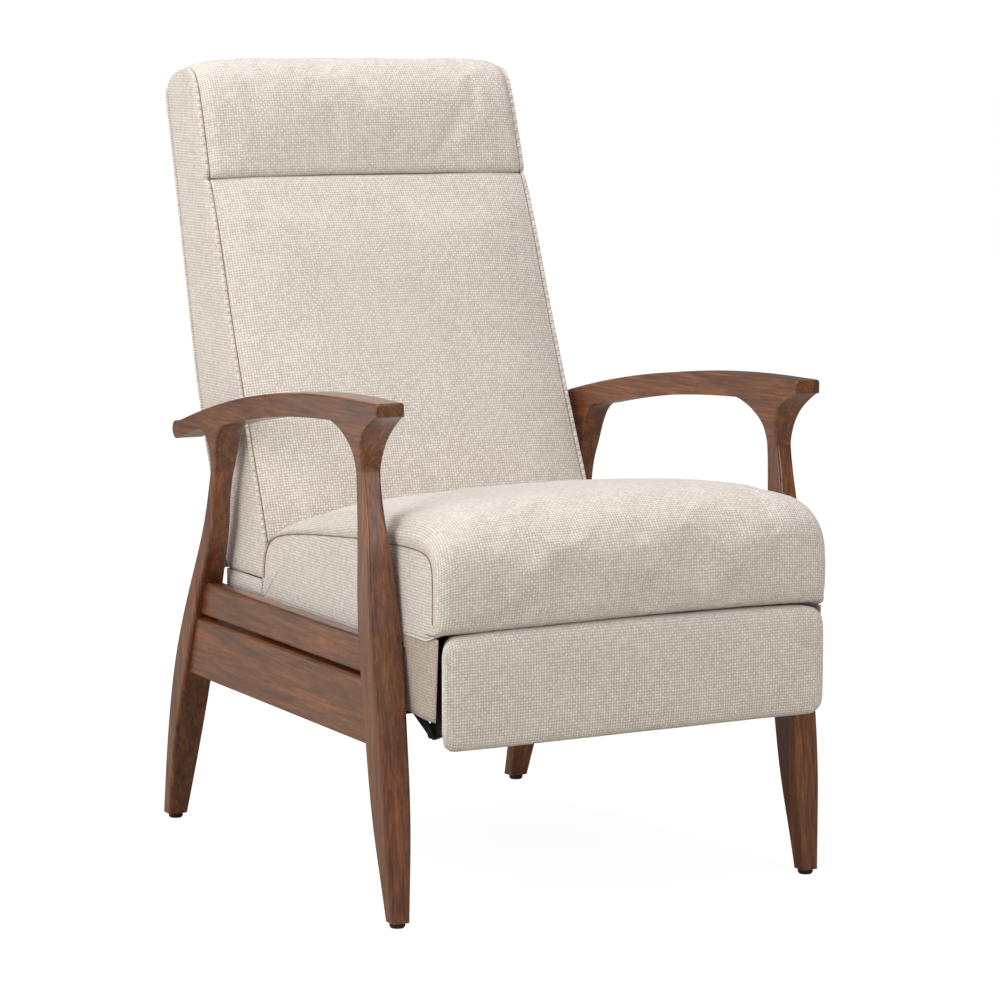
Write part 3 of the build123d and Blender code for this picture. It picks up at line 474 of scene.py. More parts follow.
@dataclass(frozen=True)
class StainedWood:
    """Hardwood with a walnut stain, wiped so that it stays in the pores, under satin lacquer."""

    name: str
    grain: Grain
    light: str = "#9c5c2b"
    body: str = "#6c3c1c"
    dark: str = "#3b1c0a"

    # Share of each layer of the grain in the colour
    PORES, FIGURE, STREAKS = 0.30, 0.34, 0.36

    def material(self) -> Material:
        """Build the material.

        Returns:
            The finished material.
        """
        g = Graph(bpy.data.materials.new(self.name))
        place = g.add("TexCoord").outputs["Object"]
        turned = g.add("Mapping", {"Vector": place, "Rotation": self.grain.value}).outputs[0]
        # pores 0.4 mm wide and some 12 mm long
        pores = self._layer(g, turned, 1.0, 30.0, {"Scale": 42.0, "Detail": 4.0, "Roughness": 0.65})
        # growth bands that come back every 12 mm or so and wander slowly
        figure = self._layer(g, turned, 0.5, 9.0, {"Scale": 9.0, "Detail": 2.0, "Distortion": 0.25})
        # streaks that come back every 3 mm or so and run half a hand's length
        streaks = self._layer(g, turned, 1.0, 28.0, {"Scale": 11.0, "Detail": 3.0})
        mixed = g.math(
            "ADD", g.math("MULTIPLY", pores, self.PORES), g.math("MULTIPLY", figure, self.FIGURE)
        )
        mixed = g.math("ADD", mixed, g.math("MULTIPLY", streaks, self.STREAKS))
        colour = g.ramp(mixed, ((0.35, self.dark), (0.50, self.body), (0.66, self.light)))
        bump = g.add("Bump", {"Height": pores, "Strength": 0.12, "Distance": 0.0003}).outputs[0]
        shader = g.add("BsdfPrincipled", {
            "Base Color": colour, "Normal": bump, "Roughness": 0.42,
            "Coat Weight": 0.7, "Coat Roughness": 0.2, "Coat IOR": 1.5,
        })
        return g.finish(shader)

    @staticmethod
    def _layer(
        g: Graph, place: NodeSocket, along: float, across: float, settings: dict
    ) -> NodeSocket:
        """Return a noise scaled differently along and across the grain."""
        drawn = g.add("Mapping", {"Vector": place, "Scale": (along, across, across)}).outputs[0]
        return g.add("TexNoise", {"Vector": drawn, **settings}).outputs[0]


@dataclass(frozen=True)
class BasketTweed:
    """Oatmeal polyester tweed in a coarse plain weave with slubs, its gaps painted warmer and
    darker as shade between the threads.
    """

    name: str
    high: str = "#f6f0e8"
    low: str = "#a39283"
    pitch: float = 3.7

    # Share in the colour of the weave, whose gaps are painted shade, of the single threads, and of
    # broad patches of painted shade standing in for the cloth's uneven surface
    WEAVE, SLUBS, PATCHES = 0.72, 0.19, 0.14

    def material(self) -> Material:
        """Build the material.

        Returns:
            The finished material.
        """
        g = Graph(bpy.data.materials.new(self.name))
        place = g.add("UVMap", uv_map="cloth").outputs[0]
        split = g.add("SeparateXYZ", {0: place})
        # threads wander by up to 0.8 mm
        drift = g.add("TexNoise", {"Vector": place, "Scale": 60.0, "Detail": 1.0}).outputs[0]
        wander = g.math("MULTIPLY", g.math("SUBTRACT", drift, 0.5), 0.0016)
        u, v = (
            g.math("MULTIPLY", g.math("ADD", way, wander), 1000.0 / self.pitch)
            for way in (split.outputs[0], split.outputs[1])
        )
        height = self._weave(g, u, v)
        cell = g.add("CombineXYZ", {0: g.math("FLOOR", u), 1: g.math("FLOOR", v)}).outputs[0]
        slub = g.add("TexWhiteNoise", {"Vector": cell}, noise_dimensions="3D").outputs[0]
        # broad patches of painted shade that stand in for the cloth's uneven surface
        shade_patches = g.add("TexNoise", {"Vector": place, "Scale": 11.0, "Detail": 2.0}).outputs[0]
        level = g.math("MULTIPLY_ADD", height, self.WEAVE, g.math("MULTIPLY", slub, self.SLUBS))
        level = g.math("ADD", level, g.math("MULTIPLY", shade_patches, self.PATCHES))
        # the weave's gaps fall towards the low colour: painted shade between the threads
        colour = g.ramp(level, ((0.1, self.low), (0.92, self.high)))
        bump = g.add("Bump", {"Height": height, "Strength": 0.6, "Distance": 0.0008}).outputs[0]
        shader = g.add("BsdfPrincipled", {
            "Base Color": colour, "Normal": bump, "Roughness": 0.95,
            "Specular IOR Level": 0.15, "Sheen Weight": 0.25, "Sheen Roughness": 0.6,
        })
        return g.finish(shader)

    @staticmethod
    def _weave(g: Graph, u: NodeSocket, v: NodeSocket) -> NodeSocket:
        """Return a plain weave's height: small holes between four threads, on top by turns."""
        waves = [g.math("COSINE", g.math("MULTIPLY", way, 2 * math.pi)) for way in (u, v)]
        hole = g.math("MULTIPLY", *(g.math("MULTIPLY_ADD", wave, 0.5, 0.5) for wave in waves))
        turns = [g.math("SINE", g.math("MULTIPLY", way, math.pi)) for way in (u, v)]
        turn = g.math("MULTIPLY", *turns)
        return g.math("MULTIPLY_ADD", turn, 0.1, g.math("MULTIPLY_ADD", hole, -0.75, 0.75))


@dataclass(frozen=True)
class Plain:
    """Even material: paint, plastic, plated steel, planed wood or webbing."""

    name: str
    colour: str
    roughness: float
    metallic: float = 0.0

    def material(self) -> Material:
        """Build the material.

        Returns:
            The finished material.
        """
        g = Graph(bpy.data.materials.new(self.name))
        shader = g.add("BsdfPrincipled", {
            "Base Color": srgb(self.colour), "Roughness": self.roughness, "Metallic": self.metallic,
        })
        return g.finish(shader)


def paint(obj: Object, material: Material) -> None:
    """Give an object one material in place of any it has."""
    obj.data.materials.clear()
    obj.data.materials.append(material)


# Sub-assemblies

# Seam: distance in from the side plane, distance along the crown, depth of the cloth below its own
# level, share of the way that the cloth still has to wrap round from the side
SEAM_RINGS = (
    (0, 0, 2.6, 0), (0.9, 0.9, 1.1, 0), (2.2, 2.2, 0.15, 0), (3.6, 3.6, 0, 0),
    (5.6, 5.6, 0.6, 0), (7.4, 7.4, 0.4, 0), (11.0, 11.0, 0, 0), (16.0, 16.0, 0, 0),
)
WRAP_RINGS = (
    (0.4, 0, 2.4, 1.0), (-0.7, 0, 0.4, 0.93), (-1.7, 0, 0, 0.76), (-1.9, 0, 0, 0.52),
    (-1.3, 0, 0, 0.3), (0.2, 0.8, 0, 0.14), (2.6, 2.8, 0, 0.05), (6.0, 6.0, 0, 0.01),
    (10.5, 10.5, 0, 0), (16.0, 16.0, 0, 0),
)
# Boxing: share of the way in to the middle line, share of the side's pillow
BOX_RINGS = (
    (0.93, 1.0), (0.8, 1.0), (0.6, 0.95), (0.4, 0.85), (0.22, 0.62), (0.1, 0.35), (0.04, 0.12),
)


def cloth_swell(seed: float, amount: float = 1.0) -> Callable[[Vector], float]:
    """Make the unevenness of cloth over foam: ripples some 60 mm long on swells of some 200 mm.

    Args:
        seed: Moves the pattern.
        amount: Scales the heights, about 0.6 mm for the ripples and 1.6 mm for the swells.

    Returns:
        Function from a point in metres to a height in metres.
    """
    def height(point: Vector) -> float:
        shifted = Vector((point.x + seed, point.y - seed, point.z + 2 * seed))
        ripples = noise.noise(shifted * 16.0) * 0.6
        swells = noise.noise(shifted * 5.0) * 1.6
        return (ripples + swells) * amount * MM

    return height


@dataclass(frozen=True)
class Sewing:
    """Cloth simulation that settles a cover's cloth between its seams, by no more than the cap."""

    frames: int = 18
    pressure: float = 1.0
    growth: float = 0.006
    cap: float = 5.0

    def settle(self, obj: Object, held: Sequence[float]) -> None:
        """Let the cloth settle and write its places back into the mesh.

        Args:
            obj: Cover whose rings are sewn.
            held: How firmly each vertex is held by a seam or a board, from 0 to 1.
        """
        group = obj.vertex_groups.new(name="held")
        for index, weight in enumerate(held):
            if weight > 0:
                group.add([index], float(weight), "REPLACE")
        cloth = obj.modifiers.new("cloth", "CLOTH")
        settings = cloth.settings
        settings.quality = 4
        settings.mass = 0.25
        settings.tension_stiffness = settings.compression_stiffness = 18.0
        settings.shear_stiffness = 6.0
        settings.bending_stiffness = 1.5
        settings.air_damping = 3.0
        settings.use_pressure = True
        settings.uniform_pressure_force = self.pressure
        settings.shrink_min = -self.growth
        settings.vertex_group_mass = group.name
        settings.effector_weights.gravity = 0.0
        cloth.collision_settings.use_collision = False
        cloth.point_cache.frame_start = 1
        cloth.point_cache.frame_end = self.frames
        scene = bpy.context.scene
        scene.frame_start, scene.frame_end = 1, self.frames
        for frame in range(1, self.frames + 1):
            scene.frame_set(frame)
        settled = obj.evaluated_get(bpy.context.evaluated_depsgraph_get())
        places = np.empty(len(obj.data.vertices) * 3)
        settled.data.vertices.foreach_get("co", places)
        before = np.empty_like(places)
        obj.data.vertices.foreach_get("co", before)
        obj.modifiers.remove(cloth)
        moved = (places - before).reshape(-1, 3) / MM
        length = np.maximum(np.linalg.norm(moved, axis=1), 1e-9)
        LOG.info("%s settles by up to %.1f mm, mean %.1f", obj.name, length.max(), length.mean())
        moved *= (self.cap * np.tanh(length / self.cap) / length)[:, None]
        moved *= (1 - np.array(held))[:, None]
        obj.data.vertices.foreach_set("co", before + moved.ravel() * MM)
        obj.data.update()
        scene.frame_set(1)


@dataclass
class Cover:
    """Upholstered form that spans between the side frames, with a sewn edge along both sides."""

    name: str
    profile: Profile
    space: ToedSpace
    knots: Sequence[Pair]
    body: str
    stands_for: Sequence[str]
    spine: tuple[Pair, Pair]
    side_rise: float = 0.0
    edge_round: float = 0.0
    hem: float = 0.0
    wrap: float = 0.0
    sewing: Sewing | None = None
    seed: float = 0.0
    swell: float = 1.0
    columns: int = 30
    widen: Callable[[Points], Points] | None = None

    # Distances in from the side at which the hem starts and is full
    HEM = (9.0, 6.0)
    # Distances in from the side at which the cloth starts to wander and wanders freely
    WANDER = (6.0, 46.0)
    # Rings from a seam, and points from a board, at which the simulated cloth is free
    FREE_RINGS, FREE_POINTS = 6, 30

    @property
    def _seam(self) -> Sequence[Quad]:
        """Return the table of the seam's rings."""
        return WRAP_RINGS if self.wrap else SEAM_RINGS

    def build(self) -> Object:
        """Model the closed cover.

        Returns:
            The new object.
        """
        half = self.space.half_width()
        mesh = RingMesh(self.name)
        side_in, _, side_depth, _ = self._seam[0]
        edge = self.profile.outline(0.0, side_depth, self._rounding(0.0), self.wrap)
        box = [
            (drawn_in(edge, self.spine, share), rise * self.side_rise - side_in)
            for share, rise in BOX_RINGS
        ]
        inward = np.linspace(self._seam[-1][0], half, self.columns)[1:]
        across = [*self._seam, *((float(d), float(d), 0.0, 0.0) for d in inward)]
        for outline, rise in box:
            self._place(mesh, outline, -1.0, rise, flat=True)
        for row in across:
            self._ring(mesh, row, -1.0)
        for row in across[-2::-1]:
            self._ring(mesh, row, 1.0)
        for outline, rise in box[::-1]:
            self._place(mesh, outline, 1.0, rise, flat=True)
        return mesh.build(cloth_swell(self.seed, self.swell))

    def _ring(self, mesh: RingMesh, row: Quad, sign: float) -> None:
        """Add the ring of a row of the seam's table, on the given side."""
        distance, along, shrink, left = row
        half = self.space.half_width()
        share = min(1 - distance / half, 1.0)
        crown = crown_curve(self.knots, 1 - along / half) if along else 0.0
        outline = self.profile.outline(crown, shrink, self._rounding(distance), self.wrap * left)
        wander = float(between(distance, *self.WANDER))
        self._place(mesh, outline, sign * max(share, 1e-9), max(-distance, 0.0), wander)

    def _place(
        self, mesh: RingMesh, outline: Points, share: float, rise: float, wander: float = 0.0,
        flat: bool = False,
    ) -> None:
        """Put an outline across the chair and add it to the mesh."""
        ring = self.space.place(outline, share, rise)
        if self.widen is not None:
            ring[:, 0] *= self.widen(ring)
        mesh.add(ring, wander, flat)

    def _rounding(self, distance: float) -> float:
        """Return how far corner rows are drawn in, or let down as a hem, at a distance inward."""
        if self.hem:
            return -self.hem * float(between(distance, *self.HEM))
        if not self.edge_round or distance >= self.edge_round:
            return 0.0
        part = self.edge_round - distance
        return self.edge_round - math.sqrt(max(self.edge_round**2 - part**2, 0.0))

    def _held(self, obj: Object) -> list[float]:
        """Return how firmly each vertex is held: wholly at seams and on boards, else not at all."""
        side = len(BOX_RINGS) + len(self._seam) - 2
        count = len(self.profile.outline(0.0))
        rings = len(obj.data.vertices) // count
        straight = (len(self.profile.rows) - 1) * self.profile.samples
        held = []
        for ring in range(rings):
            inward = min(ring, rings - 1 - ring) - side
            across = float(between(inward, self.FREE_RINGS, 0))
            for place in range(count):
                along = float(between(min(place, straight - place), self.FREE_POINTS, 0))
                held.append(max(across, along))
        return held

    def dress(self, material: Material) -> None:
        """Build the cover, give it its cloth and let it ride on its body.

        Args:
            material: Cloth of the cover.
        """
        obj = self.build()
        if self.sewing is not None:
            self.sewing.settle(obj, self._held(obj))
        paint(obj, material)
        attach(obj, self.body)
        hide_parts(*self.stands_for)


SKIRT_STEP = 26.0  # where the seat's lower edge steps up, hidden behind the front legs
SEAT_ROWS: tuple[Row, ...] = (
    (-34, 368.8, 0.1, 0, 0.7), (-52, 369, 0.14, 0.15, 0.2), (-61, 371, 0.15, 0.4),
    (-67.5, 377, 0.16, 0.7), (-70.6, 390, 0.2, 0.95), (-71.5, 410, 0.3, 1), (-71, 432, 0.44, 1),
    (-68.5, 453, 0.58, 0.95), (-61, 470, 0.74, 0.8), (-47, 482, 0.86, 0.55), (-27, 488, 0.95, 0.3),
    (5, 490, 1, 0.12), (62, 488.5, 1), (169, 481.5, 0.94), (279, 468, 0.8), (345, 457.5, 0.68),
    (392, 447.5, 0.57), (425, 437, 0.45), (446, 425, 0.3), (458, 409, 0.15), (464, 385, 0.04),
    (465.5, 358, 0, 0, 1),
)
SEAT_CORNERS: tuple[Row, ...] = (
    (465.5, 355, 0, 0, 1), (SKIRT_STEP, 355, 0, 0, 1), (SKIRT_STEP, 368.8, 0.08, 0, 0.7),
)
BACK_ROWS: tuple[Row, ...] = (
    (6, 2.2), (-10, 12, 0, 0.05), (-17.5, 30, 0, 0.12), (-19.6, 50, 0, 0.25), (-19, 110, 0, 0.6),
    (-16.5, 185, 0, 0.85), (-14.6, 262, 0, 1), (-13.5, 360, 0, 1), (-15, 467, 0, 0.85),
    (-14.6, 515, 0, 0.66), (-13, 545, 0, 0.46), (-11, 556, 0, 0.35), (-7.5, 560.5, 0, 0.26),
)
BACK_CORNERS: tuple[Row, ...] = ((44, 560.5), (44, 16.5))
HEAD_ROWS: tuple[Row, ...] = (
    (-7.5, 561.5, 0, 0.26), (-11.2, 563.5, 0, 0.3), (-13.2, 568, 0, 0.36), (-14.8, 580, 0, 0.43),
    (-17, 612, 0, 0.55), (-19.6, 650, 0, 0.68), (-20.3, 677, 0, 0.7), (-18.5, 700, 0.3, 0.62),
    (-12, 715, 0.6, 0.5), (0, 725.5, 0.9, 0.3), (20, 731, 1, 0.1), (40, 733, 1), (60, 732.5, 1),
    (72, 728, 0.8), (77.5, 722, 0.5), (78.4, 719),
)
HEAD_CORNERS: tuple[Row, ...] = ((78, 713.5), (44.6, 713.5), (44.6, 561.5))
REAR_ROWS: tuple[Row, ...] = (
    (78.4, 722), (85.4, 643), (99.9, 500), (112.4, 382), (119.6, 297), (118.8, 162), (118, 44),
)
REAR_COVER_ROWS: tuple[Row, ...] = tuple(
    (v + 0.6, u, 0, 0 if k in (0, len(REAR_ROWS) - 1) else -1)
    for k, (v, u) in enumerate(REAR_ROWS)
)
REAR_CORNERS: tuple[Row, ...] = tuple((v - 3.6, u) for v, u in REAR_ROWS[::-1])
FOOT_ROWS: tuple[Row, ...] = (
    (-41.5, 228, 0, 0, 1), (-62, 228, 0, 0, 1), (-70.5, 229.6, 0, 0.2, 1), (-74.6, 235, 0, 0.4, 1),
    (-75.8, 250, 0, 0.8, 0.7), (-76.2, 275, 0, 1, 0.2), (-76.3, 300, 0, 1),
    (-76.2, 325, 0.2, 1, -0.1), (-75.8, 345, 0.6, 0.8, -0.5), (-74.6, 358, 0.9, 0.4, -0.8),
    (-70.5, 364.2, 1, 0.2, -0.8), (-62, 366, 1, 0, -0.8), (-41.5, 366, 1, 0, -0.8),
)
SEAT_KNOTS = ((0.0, 1.0), (0.4, 0.93), (0.68, 0.79), (0.87, 0.6), (0.965, 0.34), (1.0, 0.0))
BACK_KNOTS = ((0.0, 1.0), (0.4, 0.92), (0.7, 0.72), (0.88, 0.42), (0.965, 0.14), (1.0, 0.0))
HEAD_KNOTS = ((0.0, 1.0), (0.4, 0.97), (0.7, 0.88), (0.88, 0.7), (0.965, 0.42), (1.0, 0.0))
SEAT_SPACE = ToedSpace(25.0)
BACK_SPACE = ToedSpace(34.5, BACK_ORIGIN, BACK_TILT)
SEAT_WRAP = 16.0  # distance over which the seat's cloth wraps round from its side
BACK_SPINE = ((50.0, 50.0), (28.0, 670.0))
# The seat's cloth wraps round onto its side between these heights, and less from front to rear
SIDE_WRAP, SIDE_WRAP_REAR = (372.0, 384.0), (60.0, 440.0)
# The seat's sides swell by this share from the first place in y to the second, round a height
SIDE_SWELL, SWELL_PLACES, SWELL_MIDDLE, SWELL_REACH = 0.0055, (-42.0, -66.0), 420.0, 66.0
# The footrest narrows by this share from the first place in y to the second
FOOT_NARROWING, NARROWING_PLACES = 0.056, (-70.0, -41.0)


def seat_wrap(points: Points) -> Points:
    """Return how far the seat's cloth wraps round onto the side: fully in front, not below."""
    low = between(points[:, 1], *SIDE_WRAP)
    rear = between(points[:, 0], *SIDE_WRAP_REAR)
    return eased(low) * (1 - rear**2)


def seat_front_width(ring: Points) -> Points:
    """Return the seat's share of width, swollen in front where it stands clear of the legs."""
    y = ring[:, 1] / MM - GLIDE_Y
    z = ring[:, 2] / MM
    forward = between(y, *SWELL_PLACES)
    tall = between(np.abs(z - SWELL_MIDDLE), SWELL_REACH, 0)
    return 1 + SIDE_SWELL * eased(forward) * np.sqrt(tall)


def footrest_width(ring: Points) -> Points:
    """Return the footrest's share of width, narrowed towards its board."""
    y = ring[:, 1] / MM - GLIDE_Y
    return 1 - FOOT_NARROWING * between(y, *NARROWING_PLACES)


COVERS = (
    Cover(
        "seat_cushion_cover", Profile(SEAT_ROWS, SEAT_CORNERS, 35, 11, wrap=seat_wrap), SEAT_SPACE,
        SEAT_KNOTS, "seat", ["seat_cushion"], ((0.0, 410.0), (410.0, 393.0)), side_rise=1.8,
        hem=9.0, wrap=SEAT_WRAP, sewing=Sewing(), seed=0.3, widen=seat_front_width,
    ),
    Cover(
        "back_cushion_cover", Profile(BACK_ROWS, BACK_CORNERS, 0, 24), BACK_SPACE, BACK_KNOTS,
        "back", ["back_cushion"], ((15.0, 40.0), (15.0, 540.0)), sewing=Sewing(), seed=1.7,
    ),
    Cover(
        "headrest_cover", Profile(HEAD_ROWS, HEAD_CORNERS, 11, 24), BACK_SPACE, HEAD_KNOTS,
        "back", ["headrest_cushion"], ((15.0, 590.0), (15.0, 700.0)), sewing=Sewing(), seed=2.9,
    ),
    Cover(
        "footrest_cover", Profile(FOOT_ROWS, (), 7, 5), ToedSpace(28.7), SEAT_KNOTS,
        "footrest", ["footrest_pad"], ((-58.0, 262.0), (-58.0, 345.0)), side_rise=0.6,
        edge_round=17.0, seed=4.1, widen=footrest_width,
    ),
    Cover(
        "back_rear_cover", Profile(REAR_COVER_ROWS, REAR_CORNERS, 0, 4),
        ToedSpace(33.0, BACK_ORIGIN, BACK_TILT), BACK_KNOTS, "back", ["back_rear_panel"],
        ((80.0, 700.0), (116.0, 60.0)), seed=6.2, swell=0.4,
    ),
)


@dataclass
class SidePanel:
    """Cloth-covered padded side of the back, seamed to the front covers along its front edge."""

    side: str

    # Distance outward of the seam's plane, depth inside the outline
    SEAM = ((-2.0, 3.6), (0.2, 2.8), (1.3, 1.0), (3.0, 0.1), (4.8, 0.0), (6.2, 0.6))
    # Distance outward of the pad's edge, its rise above it, and the level over which it wanders
    PAD_EDGE, PAD_RISE, WANDER_LEVEL = 6.3, 3.0, 6.6

    @staticmethod
    def outline() -> Points:
        """Return the closed side outline of the whole back, with the notch under the headrest."""
        front = row_curve(BACK_ROWS, 5)[:-1]
        head = row_curve(HEAD_ROWS, 5)[:-6]
        rear = row_curve(REAR_ROWS, 5)
        bottom = rear[-1] + (front[0] - rear[-1]) * np.linspace(0, 1, 9)[1:-1, None]
        return np.concatenate([front, head, rear, bottom])

    def dress(self, material: Material) -> None:
        """Build the panel, give it its cloth and let it ride on the back.

        Args:
            material: Cloth of the panel.
        """
        sign = SIDES[self.side]
        base = Profile(self.outline().tolist(), samples=1)
        mesh = RingMesh(f"{self.side}_back_side_cover")
        edge = base.outline(0.0, 0.6)
        rings = [(base.outline(0.0, depth), rise) for rise, depth in self.SEAM]
        rings += [
            (drawn_in(edge, BACK_SPINE, share), self.PAD_EDGE + self.PAD_RISE * rise)
            for share, rise in BOX_RINGS[::-1]
        ]
        for outline, rise in rings:
            wander = 0.6 if rise > self.WANDER_LEVEL else 0.0
            mesh.add(BACK_SPACE.place(outline, sign, rise), wander, True)
        obj = mesh.build(cloth_swell(5.0 + sign, 0.7))
        paint(obj, material)
        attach(obj, "back")
        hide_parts(f"{self.side}_back_side_panel")


@dataclass
class Trim:
    """Piping, stitched seam lines and hems, each a thin tube of cloth or thread along an edge."""

    cloth: Material
    thread: Material

    # Radii of the lines
    STITCH, HEAD_STITCH, PIPING = 0.8, 0.9, 2.6
    # Depths of the seams inside their outlines, and how far the piping stands over its own
    SEAT_DEPTH, BACK_DEPTH, PIPING_RISE = 2.2, 2.4, 0.4
    # Headrest seam: how far forward at the sides, how much farther in the middle, height
    HEAD_SEAM = (6.4, 6.2, 561.0)

    def line(self, name: str, points: Points, radius: float, body: str, sewn: bool) -> None:
        """Lay one tube.

        Args:
            name: Name of the object.
            points: Path in metres.
            radius: Radius in millimetres.
            body: Body it rides on.
            sewn: Whether it is thread, not cloth.
        """
        lengthwise = abs(points[0][0] - points[-1][0]) < 0.3
        obj = sweep(name, points, circle(radius * MM), (1, 0, 0) if lengthwise else (0, 0, 1))
        paint(obj, self.thread if sewn else self.cloth)
        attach(obj, body)

    def dress(self) -> None:
        """Lay every piping and seam line of the chair."""
        seat = Profile(SEAT_ROWS, wrap=seat_wrap)
        seat_edge = seat.outline(0.0, self.SEAT_DEPTH, 0.0, SEAT_WRAP)
        seat_edge = seat_edge[: (len(SEAT_ROWS) - 1) * seat.samples - 4]
        rear_edge = row_curve(REAR_ROWS, 6, -self.PIPING_RISE)
        fronts = [row_curve(rows, 6, self.BACK_DEPTH)[:-1] for rows in (BACK_ROWS, HEAD_ROWS)]
        front_edge = np.concatenate(fronts)
        for side, sign in SIDES.items():
            seam = SEAT_SPACE.place(seat_edge, sign, outward=0.2)
            seam[:, 0] *= seat_front_width(seam)
            self.line(f"{side}_seat_seam", seam, self.STITCH, "seat", True)
            piping = BACK_SPACE.place(rear_edge, sign, outward=6.9)
            self.line(f"{side}_back_piping", piping, self.PIPING, "back", False)
            seam = BACK_SPACE.place(front_edge, sign, outward=0.1)
            self.line(f"{side}_back_seam", seam, self.STITCH, "back", True)
        forward, bulge, height = self.HEAD_SEAM
        seam = []
        for share in np.linspace(-0.995, 0.995, 80):
            crown = crown_curve(BACK_KNOTS, abs(share))
            seam.append(BACK_SPACE.place(np.array([(-forward - bulge * crown, height)]), share))
        seam = np.concatenate(seam)
        self.line("headrest_seam", seam, self.HEAD_STITCH, "back", True)


@dataclass
class TailBand:
    """Covered band round the tail of the back, below the side panels."""

    front: float = 478.0
    rear: float = 602.5
    low: float = 337.6
    high: float = 370.2
    corner: float = 5.0
    inset: float = 30.2
    half: float = 2.4

    # Outer face of the section, as shares of the half thickness and the half height
    FACE = ((0.2, -1), (0.8, -0.93), (1.1, -0.6), (1.25, 0), (1.1, 0.6), (0.8, 0.93), (0.2, 1))

    def dress(self, material: Material) -> None:
        """Sweep the band round both sides and the rear of the tail.

        Args:
            material: Cloth of the band.
        """
        right = self._side_run()
        left = right[::-1] * (-1, 1)
        run = np.concatenate([left, right]) + (0, GLIDE_Y)
        height = np.full((len(run), 1), (self.low + self.high) / 2)
        section = self._section()
        obj = sweep("back_tail_cover", np.hstack([run, height]) * MM, section * MM, (0, 0, 1))
        paint(obj, material)
        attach(obj, "back")
        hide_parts("back_tail_band")

    def _side_run(self) -> Points:
        """Return the right half of the band's plan line, from the rear's middle to the front."""
        def x(y: float) -> float:
            return HALF_TRACK - math.tan(TOE) * y - self.inset

        r = self.corner
        corner = [
            (x(self.rear) - r * (1 - math.sin(a)), self.rear - r * (1 - math.cos(a)))
            for a in np.linspace(0, math.pi / 2, 6)
        ]
        rear = [(v, self.rear) for v in np.linspace(0, corner[0][0], 26)[:-1]]
        side = [(x(y), y) for y in np.linspace(self.rear - self.corner, self.front, 14)[1:]]
        return np.array(rear[1:] + corner + side)

    def _section(self) -> Points:
        """Return the band's section, a thin upright pad with rounded top and bottom."""
        tall = (self.high - self.low) / 2
        outer = [(self.half * c, tall * s) for c, s in self.FACE]
        inner = [(-self.half * 0.8, tall * share) for share in (0.95, -0.95)]
        return np.array(outer + inner)


@dataclass
class Skirt:
    """Unlined cloth flap that hangs from the seat beside the footrest's linkage."""

    side: str
    rows: int = 15
    columns: int = 36
    thickness: float = 1.6
    inset: float = 25.2

    # Places in y of the front edge at its top and foot, and of the rear edge
    FRONT, REAR = (-64.0, -55.0), 95.0
    # Heights of the top before and behind the step in the seat's lower edge, and of the foot's ends
    TOPS, FOOT = (368.2, 354.2), (264.0, 267.0)

    def dress(self, material: Material) -> None:
        """Dress the CAD flap as hung cloth.

        Args:
            material: Cloth of the flap.
        """
        mesh = RingMesh(f"{self.side}_skirt_cloth")
        runs = np.linspace(0, 1, self.columns)
        for drop in np.linspace(0, 1, self.rows):
            outer = [self._point(drop, run, 0.0) for run in runs]
            inner = [self._point(drop, run, self.thickness) for run in runs[::-1]]
            mesh.add(np.array(outer + inner) * MM)
        obj = mesh.build()
        paint(obj, material)
        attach(obj, "seat")
        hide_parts(f"{self.side}_skirt")

    def _point(self, drop: float, run: float, depth: float) -> Triple:
        """Return a point at shares of the way down and rearward, a depth below the outer face."""
        front = self.FRONT[0] + (self.FRONT[1] - self.FRONT[0]) * drop
        y = front + (self.REAR - front) * run
        top = self.TOPS[0] if y < SKIRT_STEP - 1 else self.TOPS[1]
        z = top + (self.FOOT[0] + (self.FOOT[1] - self.FOOT[0]) * run - top) * drop
        wave = 1.1 * math.sin(9.5 * run)
        dent = 1.9 * math.exp(-(((run - 0.45) / 0.16) ** 2))
        curl = 0.6 * math.exp(-((run / 0.08) ** 2))
        outward = (wave - dent - curl) * drop - self.inset - depth
        x = SIDES[self.side] * (HALF_TRACK + outward - math.tan(TOE) * y)
        return x, y + GLIDE_Y, z


@dataclass
class CadPieces:
    """Pieces dressed on their CAD shapes, each by the first finish that its name has a word of."""

    nodes: dict[str, Object]

    FINISHES = ()  # each with its words

    def dress(self) -> None:
        """Give each piece its finish."""
        finishes = [(finish.material(), words) for finish, words in self.FINISHES]
        for name, obj in self.nodes.items():
            fitting = [made for made, words in finishes if any(word in name for word in words)]
            if fitting:
                paint(obj, fitting[0])


class Woodwork(CadPieces):
    """Show-wood side frames with the grain along each piece, and the hidden wooden parts."""

    FINISHES = (
        (StainedWood("stained_hardwood_upright", Grain.UPRIGHT), ("_leg", "frame_dowels")),
        (StainedWood("stained_hardwood_rearward", Grain.REARWARD),
         ("_arm", "_upper_rail", "_lower_rail")),
        (StainedWood("stained_hardwood_crosswise", Grain.ACROSS), ("rear_cross_rail",)),
        (Plain("planed_beech", "#b8946a", 0.7), ("rail", "stile", "packers")),
    )


class Mechanism(CadPieces):
    """Pressed-steel linkage, plates, tubes, screws, glides and the seat's black lining."""

    FINISHES = (
        (Plain("black_painted_steel", "#17171a", 0.38),
         ("_link", "plate", "bracket", "tubes", "straps")),
        (Plain("zinc_plated_steel", "#a9a8a2", 0.35, 1.0), ("base_screws",)),
        (Plain("moulded_dark_plastic", "#2a1c15", 0.45), ("glides",)),
        (Plain("black_elastic_and_felt", "#1d1c1b", 0.9),
         ("seat_webbing", "dust_cover", "footrest_board", "_member")),
    )


